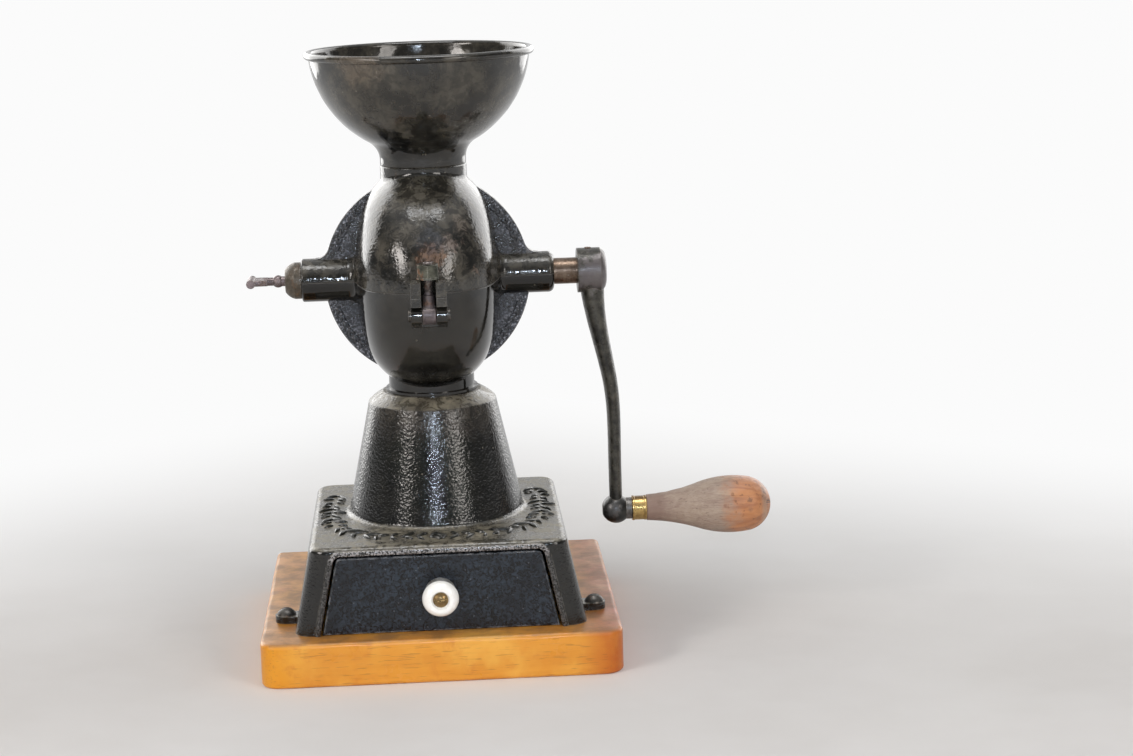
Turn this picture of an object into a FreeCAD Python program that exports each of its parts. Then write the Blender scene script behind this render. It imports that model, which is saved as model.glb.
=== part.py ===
"""Hand cranked coffee grinder: a split iron grinding case on a hollow foot with a drawer, on a wooden board.

Frame: the origin is the centre of the board's underside, +Z is up, +X is the crank's side, the drawer faces -Y.
All sizes are millimetres. The sheet "sizes" holds every dimension, and each piece is bound to it.
"""
import FreeCAD, Part
import math
import os
import re

import Sketcher

Vector = FreeCAD.Vector
Rotation = FreeCAD.Rotation

# Dimensions: name, millimetres or the sizes it follows, what it sets
SIZES = [
    # wooden board
    ("board_side", 19.1, "board beyond the foot on each side"),
    ("board_front", 15.1, "board in front of the foot"),
    ("board_back", 21.6, "board behind the foot"),
    ("board_width", "2 * (foot_half_width + board_side)", "board from side to side"),
    ("board_depth", "foot_front + board_front + foot_back + board_back", "board from front to back"),
    ("board_thick", 25.4, "board thickness"),
    ("board_corner", 11, "radius of the front corners in plan"),
    ("board_back_corner", 4, "radius of the back corners in plan"),
    ("board_edge", 2, "rounding of the upper and lower edges"),
    # foot casting
    ("foot_half_width", 82.5, "foot at the board, middle to side"),
    ("foot_front", 86.5, "foot front face, from the tower's axis"),
    ("foot_back", 80, "foot back at the board, from the tower's axis"),
    ("foot_height", 50.1, "board to deck"),
    ("deck_inset_side", 10.5, "how far each side leans in"),
    ("deck_inset_back", 11, "how far the back leans in"),
    ("foot_corner", 10, "rounding of the foot's upright corners"),
    ("deck_edge", 3.5, "rounding of the deck's edge"),
    ("foot_wall", 5, "wall of the foot and the tower"),
    ("mouth_side_top", 13.5, "deck's side to the drawer mouth's side"),
    ("mouth_side_low", 14.5, "foot's side to the drawer mouth's side, at the board"),
    ("mouth_headroom", 4.7, "drawer mouth's top to the deck"),
    ("mouth_half_top", "foot_half_width - deck_inset_side - mouth_side_top", "drawer mouth, half width at the top"),
    ("mouth_half_low", "foot_half_width - mouth_side_low", "drawer mouth, half width at the board"),
    ("mouth_height", "foot_height - mouth_headroom", "drawer mouth height"),
    ("mouth_corner", 4, "rounding of the mouth's upper corners"),
    ("mouth_bead", 3.2, "width of the raised bead round the mouth"),
    ("bead_rise", 1.6, "how far the bead stands out"),
    ("bead_round", 1.3, "rounding of the bead"),
    ("tower_radius_low", 51.6, "tower at the deck"),
    ("tower_radius_top", 37.2, "tower below its shoulder"),
    ("tower_height", 72, "deck to the tower's top"),
    ("shoulder_drop", 6, "height of the rounded shoulder"),
    ("shoulder_inset", 8.5, "how far the shoulder runs in"),
    ("shoulder_round", 26, "curve of the shoulder"),
    ("shoulder_edge", 1.5, "rounding of the shoulder's outer edge"),
    ("tower_fillet", 3, "fillet between the tower and the deck"),
    ("tower_plate", 7, "thickness of the tower's top"),
    ("tower_hole", 16.5, "round hole in the tower's top"),
    ("lug_out", 5.8, "side screw lugs, out from the foot"),
    ("lug_back_out", 9, "back screw lug, out from the foot"),
    ("lug_offset", "foot_half_width + lug_out", "side screw lugs, from the middle"),
    ("lug_set", 53, "side screw lugs, in front of the tower's axis"),
    ("lug_back", "foot_back + lug_back_out", "back screw lug, behind the tower's axis"),
    ("lug_radius", 6.4, "end radius of a lug"),
    ("lug_thick", 4, "lug thickness"),
    # grinding case
    ("case_radius", 66, "case radius about the spindle"),
    ("case_half_width", 42, "case half width along the spindle"),
    ("case_side_bulge", 3.7, "half width less the crown's radius"),
    ("case_wall", 4.5, "case wall"),
    ("case_lift", 0.5, "tower's top to the case"),
    ("case_rise", "case_radius + case_lift", "tower's top to the spindle's axis"),
    ("web_inset", 6.5, "case radius less the web's"),
    ("web_radius", "case_radius - web_inset", "round web standing across the case"),
    ("web_thick", 6, "web thickness"),
    ("web_fillet", 8, "upper web, sweep down to the tubes"),
    ("left_tube_radius", 12.5, "outside of the left tube"),
    ("left_tube_out", 13.3, "left tube, out from the web"),
    ("left_tube_end", "web_radius + left_tube_out", "left tube end, from the middle"),
    ("right_tube_radius", 11.9, "outside of the right tube"),
    ("right_tube_out", 13.8, "right tube, out from the web"),
    ("right_tube_end", "web_radius + right_tube_out", "right tube end, from the middle"),
    ("left_tube_edge", 1.2, "rounding of the left tube's end"),
    ("right_tube_edge", 3.4, "rounding of the right tube's end"),
    ("tube_root", 5, "sweep between a tube and the case's side"),
    ("neck_radius", 25, "neck under the hopper"),
    ("neck_sink", 0.5, "hopper's seat below the case's top"),
    ("neck_rise", "case_radius - neck_sink", "spindle's axis to the hopper's seat"),
    ("neck_root", 3, "fillet between the neck and the case"),
    ("neck_edge", 0.8, "rounding of the neck's rim"),
    ("collar_radius", 24.9, "waist of the lower half"),
    ("flange_radius", 26.8, "ledge that sits on the tower"),
    ("flange_thick", 1.8, "thickness of that ledge"),
    ("spigot_low", 4, "how far the lower half reaches into the tower's hole"),
    ("outlet_radius", 14, "way out for the ground coffee"),
    ("duct_radius", 12.5, "way in for the beans"),
    ("duct_wall", 3, "wall of the inner duct and trough"),
    ("trough_radius", 15, "bore round the feed worm"),
    ("trough_end", 20, "right end of that bore"),
    ("back_disc_rim", 4, "disc beyond the fixed burr that it carries"),
    ("back_disc_radius", "burr_radius + back_disc_rim", "disc that carries the fixed burr"),
    ("back_disc_thick", 4, "thickness of that disc"),
    ("back_disc_face", 16, "burr side of that disc, left of the middle"),
    ("shelf_width", 8, "shelf that ties the disc to the case"),
    ("shelf_thick", 5, "thickness of that shelf"),
    # hinge at the back and clamp in front
    ("hinge_out", 8, "hinge axis, out from the case"),
    ("hinge_set", "case_radius + hinge_out", "hinge axis behind the spindle"),
    ("knuckle_radius", 6.5, "hinge knuckle radius"),
    ("knuckle_half", 8, "middle knuckle, half length"),
    ("knuckle_side", 8.7, "length of each outer knuckle"),
    ("hinge_pin_radius", 2.5, "hinge pin"),
    ("clamp_out", 9, "clamp pin, out from the case"),
    ("clamp_set", "case_radius + clamp_out", "clamp pin in front of the spindle"),
    ("clamp_drop", 10.5, "clamp pin below the spindle's axis"),
    ("clamp_pin_radius", 2.2, "clamp pin"),
    ("clamp_reach", 20.2, "clamp pin to the round top of the fork"),
    ("fork_half_width", 10, "fork and ears, half width"),
    ("fork_slot", 4.2, "half width of the slot for the bolt"),
    ("fork_out", 6.5, "front of the fork, before the clamp pin"),
    ("fork_front", "clamp_set + fork_out", "front of the fork, before the spindle"),
    ("fork_lap", 5, "how far the fork laps down over the lower half"),
    ("fork_edge", 1, "rounding of the fork's edges"),
    ("ear_radius", 5.2, "round front of the lower ears"),
    ("eye_radius", 5.2, "eye of the swing bolt"),
    ("eye_half", 3.9, "half length of the eye"),
    ("bolt_radius", 2.6, "thread of the swing bolt"),
    ("bolt_root_radius", 3.4, "swing bolt at its eye"),
    ("bolt_root_rise", 12, "length of the swing bolt's thick root"),
    ("bolt_rise", 29.9, "clamp pin to the bolt's tip"),
    ("nut_flats", 11.6, "clamp nut across its flats"),
    ("nut_height", 7.4, "clamp nut"),
    ("nut_chamfer", 1.1, "slope at the corners of the clamp nut"),
    ("washer_radius", 6.4, "washer under the clamp nut"),
    ("washer_thick", 1, "washer thickness"),
    ("pin_head_radius", 3.4, "riveted head of a pin"),
    ("pin_head_thick", 1.2, "riveted head of a pin"),
    # hopper
    ("bowl_radius", 63.7, "outside of the bowl"),
    ("bowl_centre", 69.3, "seat to the bowl's centre"),
    ("rim_height", 63.9, "seat to the middle of the rim"),
    ("rim_bead", 2.25, "radius of the rolled rim"),
    ("hopper_wall", 3, "hopper wall"),
    ("hopper_neck", 24.8, "outside of the hopper's neck"),
    ("hopper_sweep", 12, "sweep from the neck to the bowl"),
    ("spigot_radius", 22.4, "hopper's spigot in the neck"),
    ("spigot_depth", 9, "length of the spigot"),
    # spindle line
    ("spindle_radius", 7.6, "spindle in its bearings"),
    ("button_play", 1.5, "room between the thrust button and the plug"),
    ("spindle_left", "left_tube_end - plug_thread - clear_gap - button_play - button_thick",
     "left end of the spindle"),
    ("worm_radius", 14.4, "outside of the feed worm"),
    ("worm_core", 9.5, "core of the feed worm"),
    ("worm_left", 14.5, "left end of the worm"),
    ("worm_pitch", 14, "pitch of the worm"),
    ("worm_length", 33, "length of the worm"),
    ("worm_blade", 2.6, "thickness of the worm's blade"),
    ("burr_inset", 28, "case radius less the burrs'"),
    ("burr_radius", "case_radius - burr_inset", "outside of the burrs"),
    ("burr_thick", 5, "thickness of a burr"),
    ("burr_gap", 1, "gap between the burrs as set"),
    ("burr_eye", 20, "mouth between the burrs"),
    ("burr_groove", 1.6, "depth of the burrs' grooves"),
    ("burr_groove_width", 2.4, "width of the burrs' grooves"),
    ("hub_radius", 13, "hub of the turning burr"),
    ("hub_length", 6, "hub length behind the turning burr"),
    ("pin_radius", 1.5, "cross pins of the spindle"),
    ("button_thick", 4, "thrust button"),
    ("plug_radius", 10.6, "domed head of the screw plug"),
    ("plug_nose_radius", 6.6, "outer end of the screw plug"),
    ("plug_rim", 3.6, "straight part of the plug's head"),
    ("plug_length", 9.2, "length of the plug's head"),
    ("plug_thread_radius", 9, "thread of the plug"),
    ("plug_thread", 9, "length of the plug's thread"),
    ("screw_radius", 2.9, "thread of the thumb screw"),
    ("screw_collar", 3.6, "collar of the thumb screw"),
    ("screw_collar_out", 4.2, "collar of the thumb screw, out from the plug"),
    ("screw_collar_set", "left_tube_end + clear_gap + plug_length + screw_collar_out",
     "that collar, from the middle"),
    ("screw_neck", 2.4, "neck beside the finger blade"),
    ("screw_out", 18, "end of the thumb screw, out from its collar"),
    ("screw_reach", "screw_collar_set + screw_out", "end of the thumb screw, from the middle"),
    ("blade_length", 12, "flat finger blade of the thumb screw"),
    ("blade_width", 14, "width of that blade"),
    ("blade_thick", 3.4, "thickness of that blade"),
    ("blade_bead", 2.6, "radius of the bead along the blade's end"),
    # crank and handle
    ("shaft_shown", 13.7, "spindle between the right tube and the crank"),
    ("boss_start", "right_tube_end + shaft_shown", "inner face of the crank's boss"),
    ("boss_length", 16.9, "length of the boss"),
    ("boss_radius", 13, "boss radius"),
    ("boss_edge", 3.5, "rounding of the boss's outer end"),
    ("crank_seat_radius", 5.5, "spindle inside the boss"),
    ("crank_seat", 13, "length of the spindle inside the boss"),
    ("crank_pin_radius", 1.9, "pin through the boss"),
    ("crank_throw", 144, "spindle to handle"),
    ("arm_offset", 10.8, "how far the arm swings outwards"),
    ("arm_bend_start", 5, "where the arm starts to swing out, below the spindle"),
    ("arm_bend_end", 88, "where it runs straight again"),
    ("arm_thick_top", 8, "half thickness of the arm at the boss"),
    ("arm_thick_low", 3.8, "half thickness of the arm at the ball"),
    ("arm_wide_top", 9, "half width of the arm at the boss"),
    ("arm_wide_low", 5.6, "half width of the arm at the ball"),
    ("ball_radius", 8.6, "ball at the end of the arm"),
    ("grip_pin_radius", 3.2, "handle spindle"),
    ("grip_pin_reach", 56, "handle spindle inside the handle"),
    ("grip_gap", 0.8, "ball to ferrule"),
    ("ferrule_radius", 7.4, "brass ferrule"),
    ("ferrule_length", 8.6, "brass ferrule"),
    ("ferrule_wall", 1, "ferrule wall"),
    ("ball_flat", "sqrt(ball_radius^2 - (ferrule_radius - ferrule_wall)^2)", "flat on the ball for the shoulder"),
    ("grip_length", 74.2, "wooden handle beyond the ferrule"),
    ("grip_neck", 7.7, "handle radius at the ferrule"),
    ("grip_swell", 30.2, "start of the handle's belly"),
    ("grip_swell_radius", 13.4, "handle radius there"),
    ("grip_hollow", 115, "curve of the handle's neck"),
    ("grip_belly", 61, "curve of the handle's belly"),
    ("grip_cap", 12.2, "start of the round end, from the handle's end"),
    ("grip_cap_radius", 15.9, "handle radius there"),
    ("nail_set", 46.2, "nail in the handle, from the ferrule"),
    ("nail_radius", 0.7, "nail in the handle"),
    ("nail_groove", 1, "depth of the spindle's groove for the nail"),
    # drawer
    ("drawer_gap", 1.2, "gap round the drawer front"),
    ("drawer_lift", 0.2, "gap under the drawer"),
    ("front_thick", 2, "drawer front"),
    ("front_edge", 0.8, "rounding of the drawer front"),
    ("tray_wall", 1.2, "sheet of the tray"),
    ("tray_room", 2.2, "tray to the back of the foot"),
    ("tray_depth", "foot_front - clear_gap - front_thick + foot_back - foot_wall - deck_inset_back - tray_room",
     "tray from front to back"),
    ("tray_headroom", 7.4, "mouth height less the tray's"),
    ("tray_height", "mouth_height - tray_headroom", "tray height"),
    ("tray_inset", 2.2, "tray inside the edge of the drawer front"),
    ("tray_hem", 1.1, "radius of the rolled hem along the tray's sides"),
    ("knob_radius", 9.9, "porcelain knob"),
    ("knob_length", 15.5, "knob from its plate to its face"),
    ("knob_foot", 6.2, "knob at its plate"),
    ("knob_waist", 5, "narrowest part of the knob"),
    ("knob_waist_set", 3.6, "plate to the narrowest part"),
    ("knob_brim_set", 9.8, "plate to the widest part"),
    ("knob_brim", 2.6, "length of the widest part"),
    ("knob_face", 7, "flat face of the knob"),
    ("knob_dish", 5.2, "dish round the screw's head"),
    ("knob_dish_depth", 1.4, "depth of that dish"),
    ("knob_plate_radius", 8.8, "round plate behind the knob"),
    ("knob_plate_thick", 1, "plate behind the knob"),
    ("knob_screw_radius", 2, "screw through the knob"),
    ("knob_head_radius", 4.3, "head of that screw"),
    ("knob_head_height", 2, "head of that screw"),
    ("knob_nut_flats", 7, "nut inside the drawer"),
    ("knob_nut_height", 3, "nut inside the drawer"),
    ("knob_washer_radius", 5, "washer under that nut"),
    ("knob_washer_thick", 0.8, "washer under that nut"),
    # small fasteners and fits
    ("wood_screw_radius", 2.2, "shank of a wood screw"),
    ("wood_screw_length", 18, "shank of a wood screw below the lug"),
    ("screw_head_radius", 5.6, "round head of a wood screw"),
    ("screw_head_height", 4, "round head of a wood screw"),
    ("slot_width", 1.1, "screwdriver slot"),
    ("slot_depth", 1.3, "screwdriver slot"),
    ("case_bolt_radius", 2, "bolts under the lower half"),
    ("case_bolt_circle", 20.5, "circle of those bolts"),
    ("case_bolt_bite", 7, "length of those bolts in the lower half"),
    ("case_bolt_flats", 7, "bolt heads across flats"),
    ("case_bolt_head", 3, "height of the bolt heads"),
    ("burr_screw_circle", "(burr_eye + burr_radius) / 2", "screws of the fixed burr"),
    ("burr_screw_radius", 1.5, "screws of the fixed burr"),
    ("burr_screw_head", 2.8, "heads of those screws"),
    ("running_fit", 0.05, "radial clearance of a running fit"),
    ("seat_fit", 0.02, "radial clearance of a tight seat"),
    ("clear_gap", 0.3, "gap between pieces that only pass each other"),
]

NAMES = {name for name, size, note in SIZES}

# Places that several pieces share, as formulas of the sizes
DECK = "(board_thick + foot_height)"
TOWER_TOP = f"({DECK} + tower_height)"
SHAFT = f"({TOWER_TOP} + case_rise)"
MOUTH_SLOPE = "((mouth_half_low - mouth_half_top) / mouth_height)"
MOUTH_LEAN = f"sqrt(1 + {MOUTH_SLOPE}^2)"
CROWN = "(case_half_width - case_side_bulge)"
CROWN_UP = f"(case_radius - {CROWN})"
SIDE_CURVE = f"(({CROWN_UP}^2 + case_half_width^2 - {CROWN}^2) / (2 * case_side_bulge))"
SIDE_BACK = f"({SIDE_CURVE} - case_half_width)"
FIXED_FACE = "(back_disc_face + burr_thick)"
TURNING_FACE = f"({FIXED_FACE} + burr_gap)"
TURNING_BACK = f"({TURNING_FACE} + burr_thick)"
BUTTON_END = "(spindle_left + button_thick)"
BORE_END = "(left_tube_end - plug_thread - clear_gap)"
SOCKET = "(neck_rise - spigot_depth)"
THROAT = "(spigot_radius - hopper_wall)"
BALL_X = "(boss_start + boss_length / 2 + arm_offset)"
FERRULE_X = f"({BALL_X} + ball_radius + grip_gap)"
GRIP_X = f"({FERRULE_X} + ferrule_length)"
GRIP_Z = f"({SHAFT} - crank_throw)"
NAIL_X = f"({GRIP_X} + nail_set)"
CLAMP_Z = f"({SHAFT} - clamp_drop)"
TRAY_LOW = "(board_thick + drawer_lift)"
FRONT_FACE = "(foot_front - clear_gap)"
FRONT_BACK = f"({FRONT_FACE} - front_thick)"
KNOB_Z = f"({TRAY_LOW} + (mouth_height - drawer_gap - drawer_lift) / 2)"
PLATE_FACE = f"({FRONT_FACE} + knob_plate_thick)"

# Screw places: in plan under the lower half, across the spindle for the fixed burr, and in plan on the board
CASE_BOLTS = [("case_bolt_circle", "0"), ("-case_bolt_circle / 2", "sqrt(3) / 2 * case_bolt_circle"),
              ("-case_bolt_circle / 2", "-sqrt(3) / 2 * case_bolt_circle")]
BURR_SCREWS = [("-sqrt(3) / 2 * burr_screw_circle", "-burr_screw_circle / 2"), ("0", "-burr_screw_circle"),
               ("sqrt(3) / 2 * burr_screw_circle", "-burr_screw_circle / 2")]
LUGS = [("-lug_offset", "-lug_set"), ("lug_offset", "-lug_set"), ("0", "lug_back")]

doc = FreeCAD.newDocument("coffee_grinder")
sheet = doc.addObject("Spreadsheet::Sheet", "sizes")
for row, (name, size, note) in enumerate(SIZES, start=1):
    sheet.set(f"A{row}", name)
    sheet.set(f"B{row}", f"={size}")
    sheet.set(f"C{row}", note)
    sheet.setAlias(f"B{row}", name)
# A second sheet works formulas out where a sketch needs a first guess
ruler = doc.addObject("Spreadsheet::Sheet", "ruler")
doc.recompute()

pieces = []


def formula(text):
    """Point every size name in a formula at its cell of the sheet."""
    return re.sub(r"[a-z][a-z_]*", lambda word: f"sizes.{word[0]}" if word[0] in NAMES else word[0], str(text))


def number(text):
    """Work a formula out with the sheet's present values."""
    ruler.set("A1", "=" + formula(text))
    ruler.recompute()
    return float(ruler.get("A1"))


def bind(item, links):
    """Bind properties of an object to formulas."""
    for path, text in links.items():
        item.setExpression(path, formula(text))


def place(item, at):
    """Bind an object's position to three formulas."""
    for letter, text in zip("xyz", at):
        bind(item, {f"Placement.Base.{letter}": text})


TURN = {
    "X": Rotation(Vector(0, 1, 0), 90),
    "Y": Rotation(Vector(1, 0, 0), -90),
    "Z": Rotation(),
}


class Piece:
    """One sub-part of the grinder: a body that grows feature by feature."""

    def __init__(self, label, at=("0", "0", "0"), keep=True):
        self.label = label
        self.body = doc.addObject("PartDesign::Body", label)
        self.body.Label = label
        place(self.body, at)
        if keep:
            pieces.append(self.body)

    def feature(self, kind, what):
        """Add a feature of the given kind and call it after what it makes."""
        return self.body.newObject(f"PartDesign::{kind}", f"{self.label}_{what}")

    def volume(self):
        """Volume of the body so far."""
        return self.body.Shape.Volume if self.body.Tip else 0.0

    def settle(self, item, cut, before):
        """Recompute, and stop if a feature failed or changed nothing."""
        doc.recompute()
        change = self.volume() - before
        if not item.isValid() or (change > -1e-6 if cut else change < 1e-6):
            raise RuntimeError(f"{item.Name} changes the volume by {change:.4f}")
        return item

    def solid(self, kind, what, links, at, turn, cut):
        """Add or take away one of the plain solids."""
        before = self.volume()
        item = self.feature(("Subtractive" if cut else "Additive") + kind, what)
        item.Placement = FreeCAD.Placement(Vector(), turn)
        place(item, at)
        bind(item, links)
        return self.settle(item, cut, before)

    def drum(self, what, axis, at, radius, length, cut=False):
        """Round bar along an axis, from its starting point."""
        return self.solid("Cylinder", what, {"Radius": radius, "Height": length}, at, TURN[axis], cut)

    def taper(self, what, axis, at, start, end, length, cut=False):
        """Cone along an axis, with its two radii."""
        links = {"Radius1": start, "Radius2": end, "Height": length}
        return self.solid("Cone", what, links, at, TURN[axis], cut)

    def block(self, what, at, size, cut=False):
        """Box from its lowest corner."""
        links = dict(zip(("Length", "Width", "Height"), size))
        return self.solid("Box", what, links, at, Rotation(), cut)

    def ball(self, what, at, radius, cut=False):
        """Sphere about a point."""
        return self.solid("Sphere", what, {"Radius": radius}, at, Rotation(), cut)

    def wedge(self, what, low, high, cut=False):
        """Block with leaning sides: low and high hold x from and to, y from and to, and z."""
        links = {
            "Xmin": low[0], "Xmax": low[1], "Zmin": f"-({low[3]})", "Zmax": f"-({low[2]})", "Ymin": low[4],
            "X2min": high[0], "X2max": high[1], "Z2min": f"-({high[3]})", "Z2max": f"-({high[2]})", "Ymax": high[4],
        }
        return self.solid("Wedge", what, links, ("0", "0", "0"), Rotation(Vector(1, 0, 0), 90), cut)

    def sketch(self, plane, what, offset):
        """Start a sketch on one of the body's own planes."""
        drawing = self.body.newObject("Sketcher::SketchObject", f"{self.label}_{what}_outline")
        support = next(part for part in self.body.Origin.OriginFeatures if part.Role == f"{plane}_Plane")
        drawing.AttachmentSupport = [(support, "")]
        drawing.MapMode = "FlatFace"
        bind(drawing, {"AttachmentOffset.Base.z": offset})
        return drawing

    def pin_down(self, drawing, item, point, across, up):
        """Hold a point of a drawing at a place given by two formulas."""
        for kind, axis, text in (("DistanceX", -2, across), ("DistanceY", -1, up)):
            if text == "0":
                drawing.addConstraint(Sketcher.Constraint("PointOnObject", item, point, axis))
                continue
            index = drawing.addConstraint(Sketcher.Constraint(kind, -1, 1, item, point, number(text)))
            bind(drawing, {f"Constraints[{index}]": text})

    def outline(self, plane, what, corners, offset="0"):
        """Draw a closed outline of corners (across, up), or (across, up, radius, side) where an arc leaves one.

        The side, left or right, is where the arc's centre lies as one follows the outline.
        """
        drawing = self.sketch(plane, what, offset)
        points = [Vector(number(corner[0]), number(corner[1]), 0) for corner in corners]
        ends = []
        for index, corner in enumerate(corners):
            start, end = points[index], points[(index + 1) % len(points)]
            if len(corner) == 2:
                drawing.addGeometry(Part.LineSegment(start, end), False)
                ends.append((1, 2))
                continue
            drawing.addGeometry(arc_between(start, end, number(corner[2]), corner[3]), False)
            ends.append((1, 2) if corner[3] == "left" else (2, 1))
            radius = drawing.addConstraint(Sketcher.Constraint("Radius", index, number(corner[2])))
            bind(drawing, {f"Constraints[{radius}]": corner[2]})
        for index in range(len(corners)):
            after = (index + 1) % len(corners)
            drawing.addConstraint(Sketcher.Constraint("Coincident", index, ends[index][1], after, ends[after][0]))
        for index, corner in enumerate(corners):
            self.pin_down(drawing, index, ends[index][0], corner[0], corner[1])
        return drawing

    def circle(self, plane, what, centre, radius, offset="0"):
        """Draw one circle."""
        drawing = self.sketch(plane, what, offset)
        middle = Vector(number(centre[0]), number(centre[1]), 0)
        drawing.addGeometry(Part.Circle(middle, Vector(0, 0, 1), number(radius)), False)
        self.pin_down(drawing, 0, 3, *centre)
        index = drawing.addConstraint(Sketcher.Constraint("Radius", 0, number(radius)))
        bind(drawing, {f"Constraints[{index}]": radius})
        return drawing

    def ellipse(self, what, centre, across, along, offset):
        """Draw an ellipse on a level plane, with its half length across X and its longer half length along Y."""
        drawing = self.sketch("XY", what, offset)
        middle = Vector(number(centre), 0, 0)
        far = middle + Vector(0, number(along), 0)
        near = middle + Vector(number(across), 0, 0)
        drawing.addGeometry(Part.Ellipse(far, near, middle), False)
        drawing.exposeInternalGeometry(0)
        drawing.addConstraint(Sketcher.Constraint("Vertical", 1))
        self.pin_down(drawing, 0, 3, centre, "0")
        for line, text in ((1, along), (2, across)):
            index = drawing.addConstraint(Sketcher.Constraint("Distance", line, 2 * number(text)))
            bind(drawing, {f"Constraints[{index}]": f"2 * {text}"})
        return drawing

    def spin(self, what, drawing, axis="H", cut=False, half=None):
        """Turn an outline about its sketch's level (H) or upright (V) axis, all round or by half a turn."""
        before = self.volume()
        item = self.feature("Groove" if cut else "Revolution", what)
        item.Profile = drawing
        item.ReferenceAxis = (drawing, [f"{axis}_Axis"])
        item.Angle = 180 if half else 360
        item.Reversed = half == "lower"
        return self.settle(item, cut, before)

    def extrude(self, what, drawing, length, cut=False, middle=False):
        """Carry an outline along its plane's normal, or evenly both ways."""
        before = self.volume()
        item = self.feature("Pocket" if cut else "Pad", what)
        item.Profile = drawing
        if middle:
            item.SideType = "Symmetric"
        elif cut:
            item.Reversed = True
        bind(item, {"Length": length})
        return self.settle(item, cut, before)

    def loft(self, what, drawings):
        """Join outlines with one smooth skin."""
        item = self.feature("AdditiveLoft", what)
        item.Profile = drawings[0]
        item.Sections = drawings[1:]
        return self.settle(item, False, self.volume())

    def round_edges(self, what, radius, wanted):
        """Round the edges of the body so far that pass a test."""
        tip = self.body.Tip
        chosen = [f"Edge{index}" for index, edge in enumerate(tip.Shape.Edges, start=1) if wanted(edge)]
        if not chosen:
            raise RuntimeError(f"{self.label}: no edge for {what}")
        item = self.feature("Fillet", what)
        item.Base = (tip, chosen)
        bind(item, {"Radius": radius})
        doc.recompute()
        if not item.isValid() or not item.Shape.isValid():
            raise RuntimeError(f"{item.Name} fails on {len(chosen)} edges")
        return item

    def around(self, what, feature, axis, count):
        """Repeat one feature evenly round one of the body's own axes."""
        before = self.volume()
        item = self.feature("PolarPattern", what)
        item.Originals = [feature]
        line = next(part for part in self.body.Origin.OriginFeatures if part.Role == f"{axis}_Axis")
        item.Axis = (line, [""])
        item.Angle = 360
        item.Occurrences = count
        self.body.Tip = item
        doc.recompute()
        if abs(self.volume() - before) < 1e-6:
            raise RuntimeError(f"{item.Name} repeats nothing")
        return item

    def hexagon(self, what, centre, flats, height, offset, cut=False):
        """Six sided prism standing on a level plane."""
        side, corner = f"({flats} / 2)", f"({flats} / sqrt(3))"
        across, up = centre
        corners = [
            (f"{across} + {side}", f"{up} - {corner} / 2"), (f"{across} + {side}", f"{up} + {corner} / 2"),
            (across, f"{up} + {corner}"), (f"{across} - {side}", f"{up} + {corner} / 2"),
            (f"{across} - {side}", f"{up} - {corner} / 2"), (across, f"{up} - {corner}"),
        ]
        return self.extrude(what, self.outline("XY", what, corners, offset), height, cut)


def arc_between(start, end, radius, side):
    """Arc of under half a turn between two points, with its centre on the given side of the way there."""
    run = end - start
    rise = math.sqrt(max(radius ** 2 - (run.Length / 2) ** 2, 0.0))
    left = Vector(-run.y, run.x, 0).normalize()
    centre = (start + end) * 0.5 + left * (rise if side == "left" else -rise)
    first, last = (start, end) if side == "left" else (end, start)
    angles = [math.atan2(point.y - centre.y, point.x - centre.x) for point in (first, last)]
    if angles[1] < angles[0]:
        angles[1] += 2 * math.pi
    return Part.ArcOfCircle(Part.Circle(centre, Vector(0, 0, 1), radius), *angles)


def ring(axis, at, radius):
    """Test for rings about a body's own axis, or parts of them, by place along the axis and radius."""
    flat, size = in_plane(axis, at), number(radius)
    across = [letter for letter in "XYZ" if letter != axis]

    def test(edge):
        box = edge.BoundBox
        if not flat(edge) or min(getattr(box, f"{letter}Length") for letter in across) < 0.01:
            return False
        reach = max(abs(getattr(box, letter + end)) for letter in across for end in ("Min", "Max"))
        return abs(reach - size) < 0.01

    return test


def in_plane(axis, at):
    """Test for edges that lie in one plane across an axis."""
    place_there = number(at)

    def test(edge):
        box = edge.BoundBox
        low, high = getattr(box, f"{axis}Min"), getattr(box, f"{axis}Max")
        return abs(low - place_there) < 0.01 and abs(high - place_there) < 0.01

    return test


def along_y(edge):
    """Test for edges that run straight from front to back."""
    return edge.BoundBox.XLength < 0.01 and edge.BoundBox.ZLength < 0.01


def rising(height):
    """Test for edges that climb at least so high."""
    least = number(height)
    return lambda edge: edge.BoundBox.ZLength > least


def copies(label, pattern, places):
    """One node of several equal pieces, each a link to a pattern piece at its own place."""
    links = []
    for index, at in enumerate(places, start=1):
        link = doc.addObject("App::Link", f"{label}_{index}")
        link.LinkedObject = pattern.body
        place(link, at)
        links.append(link)
    group = doc.addObject("Part::Compound", label)
    group.Label = label
    group.Links = links
    doc.recompute()
    pieces.append(group)


def mouth_half(drop, height):
    """Half width of the drawer mouth, less a gap square to its leaning side, at a height above the board."""
    return f"(mouth_half_low - {MOUTH_SLOPE} * ({height}) - ({drop}) * {MOUTH_LEAN})"


# Wooden board

def wood_board():
    """Varnished board with rounded corners and pilot holes for the three screws."""
    board = Piece("wood_board")
    board.block("plank", ("-board_width / 2", "-foot_front - board_front", "0"),
                ("board_width", "board_depth", "board_thick"))
    board.round_edges("front_corners", "board_corner", lambda edge: (
        rising("board_thick / 2")(edge) and edge.BoundBox.YMax < 0))
    board.round_edges("back_corners", "board_back_corner", lambda edge: (
        rising("board_thick / 2")(edge) and edge.BoundBox.YMin > 0))
    for name, height in (("upper_edge", "board_thick"), ("lower_edge", "0")):
        board.round_edges(name, "board_edge", in_plane("Z", height))
    hole = "(wood_screw_length + clear_gap)"
    for index, (across, along) in enumerate(LUGS, start=1):
        board.drum(f"pilot_{index}", "Z", (across, along, f"board_thick - {hole}"),
                   "wood_screw_radius + seat_fit", hole, cut=True)


# Foot casting with its tower

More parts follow.
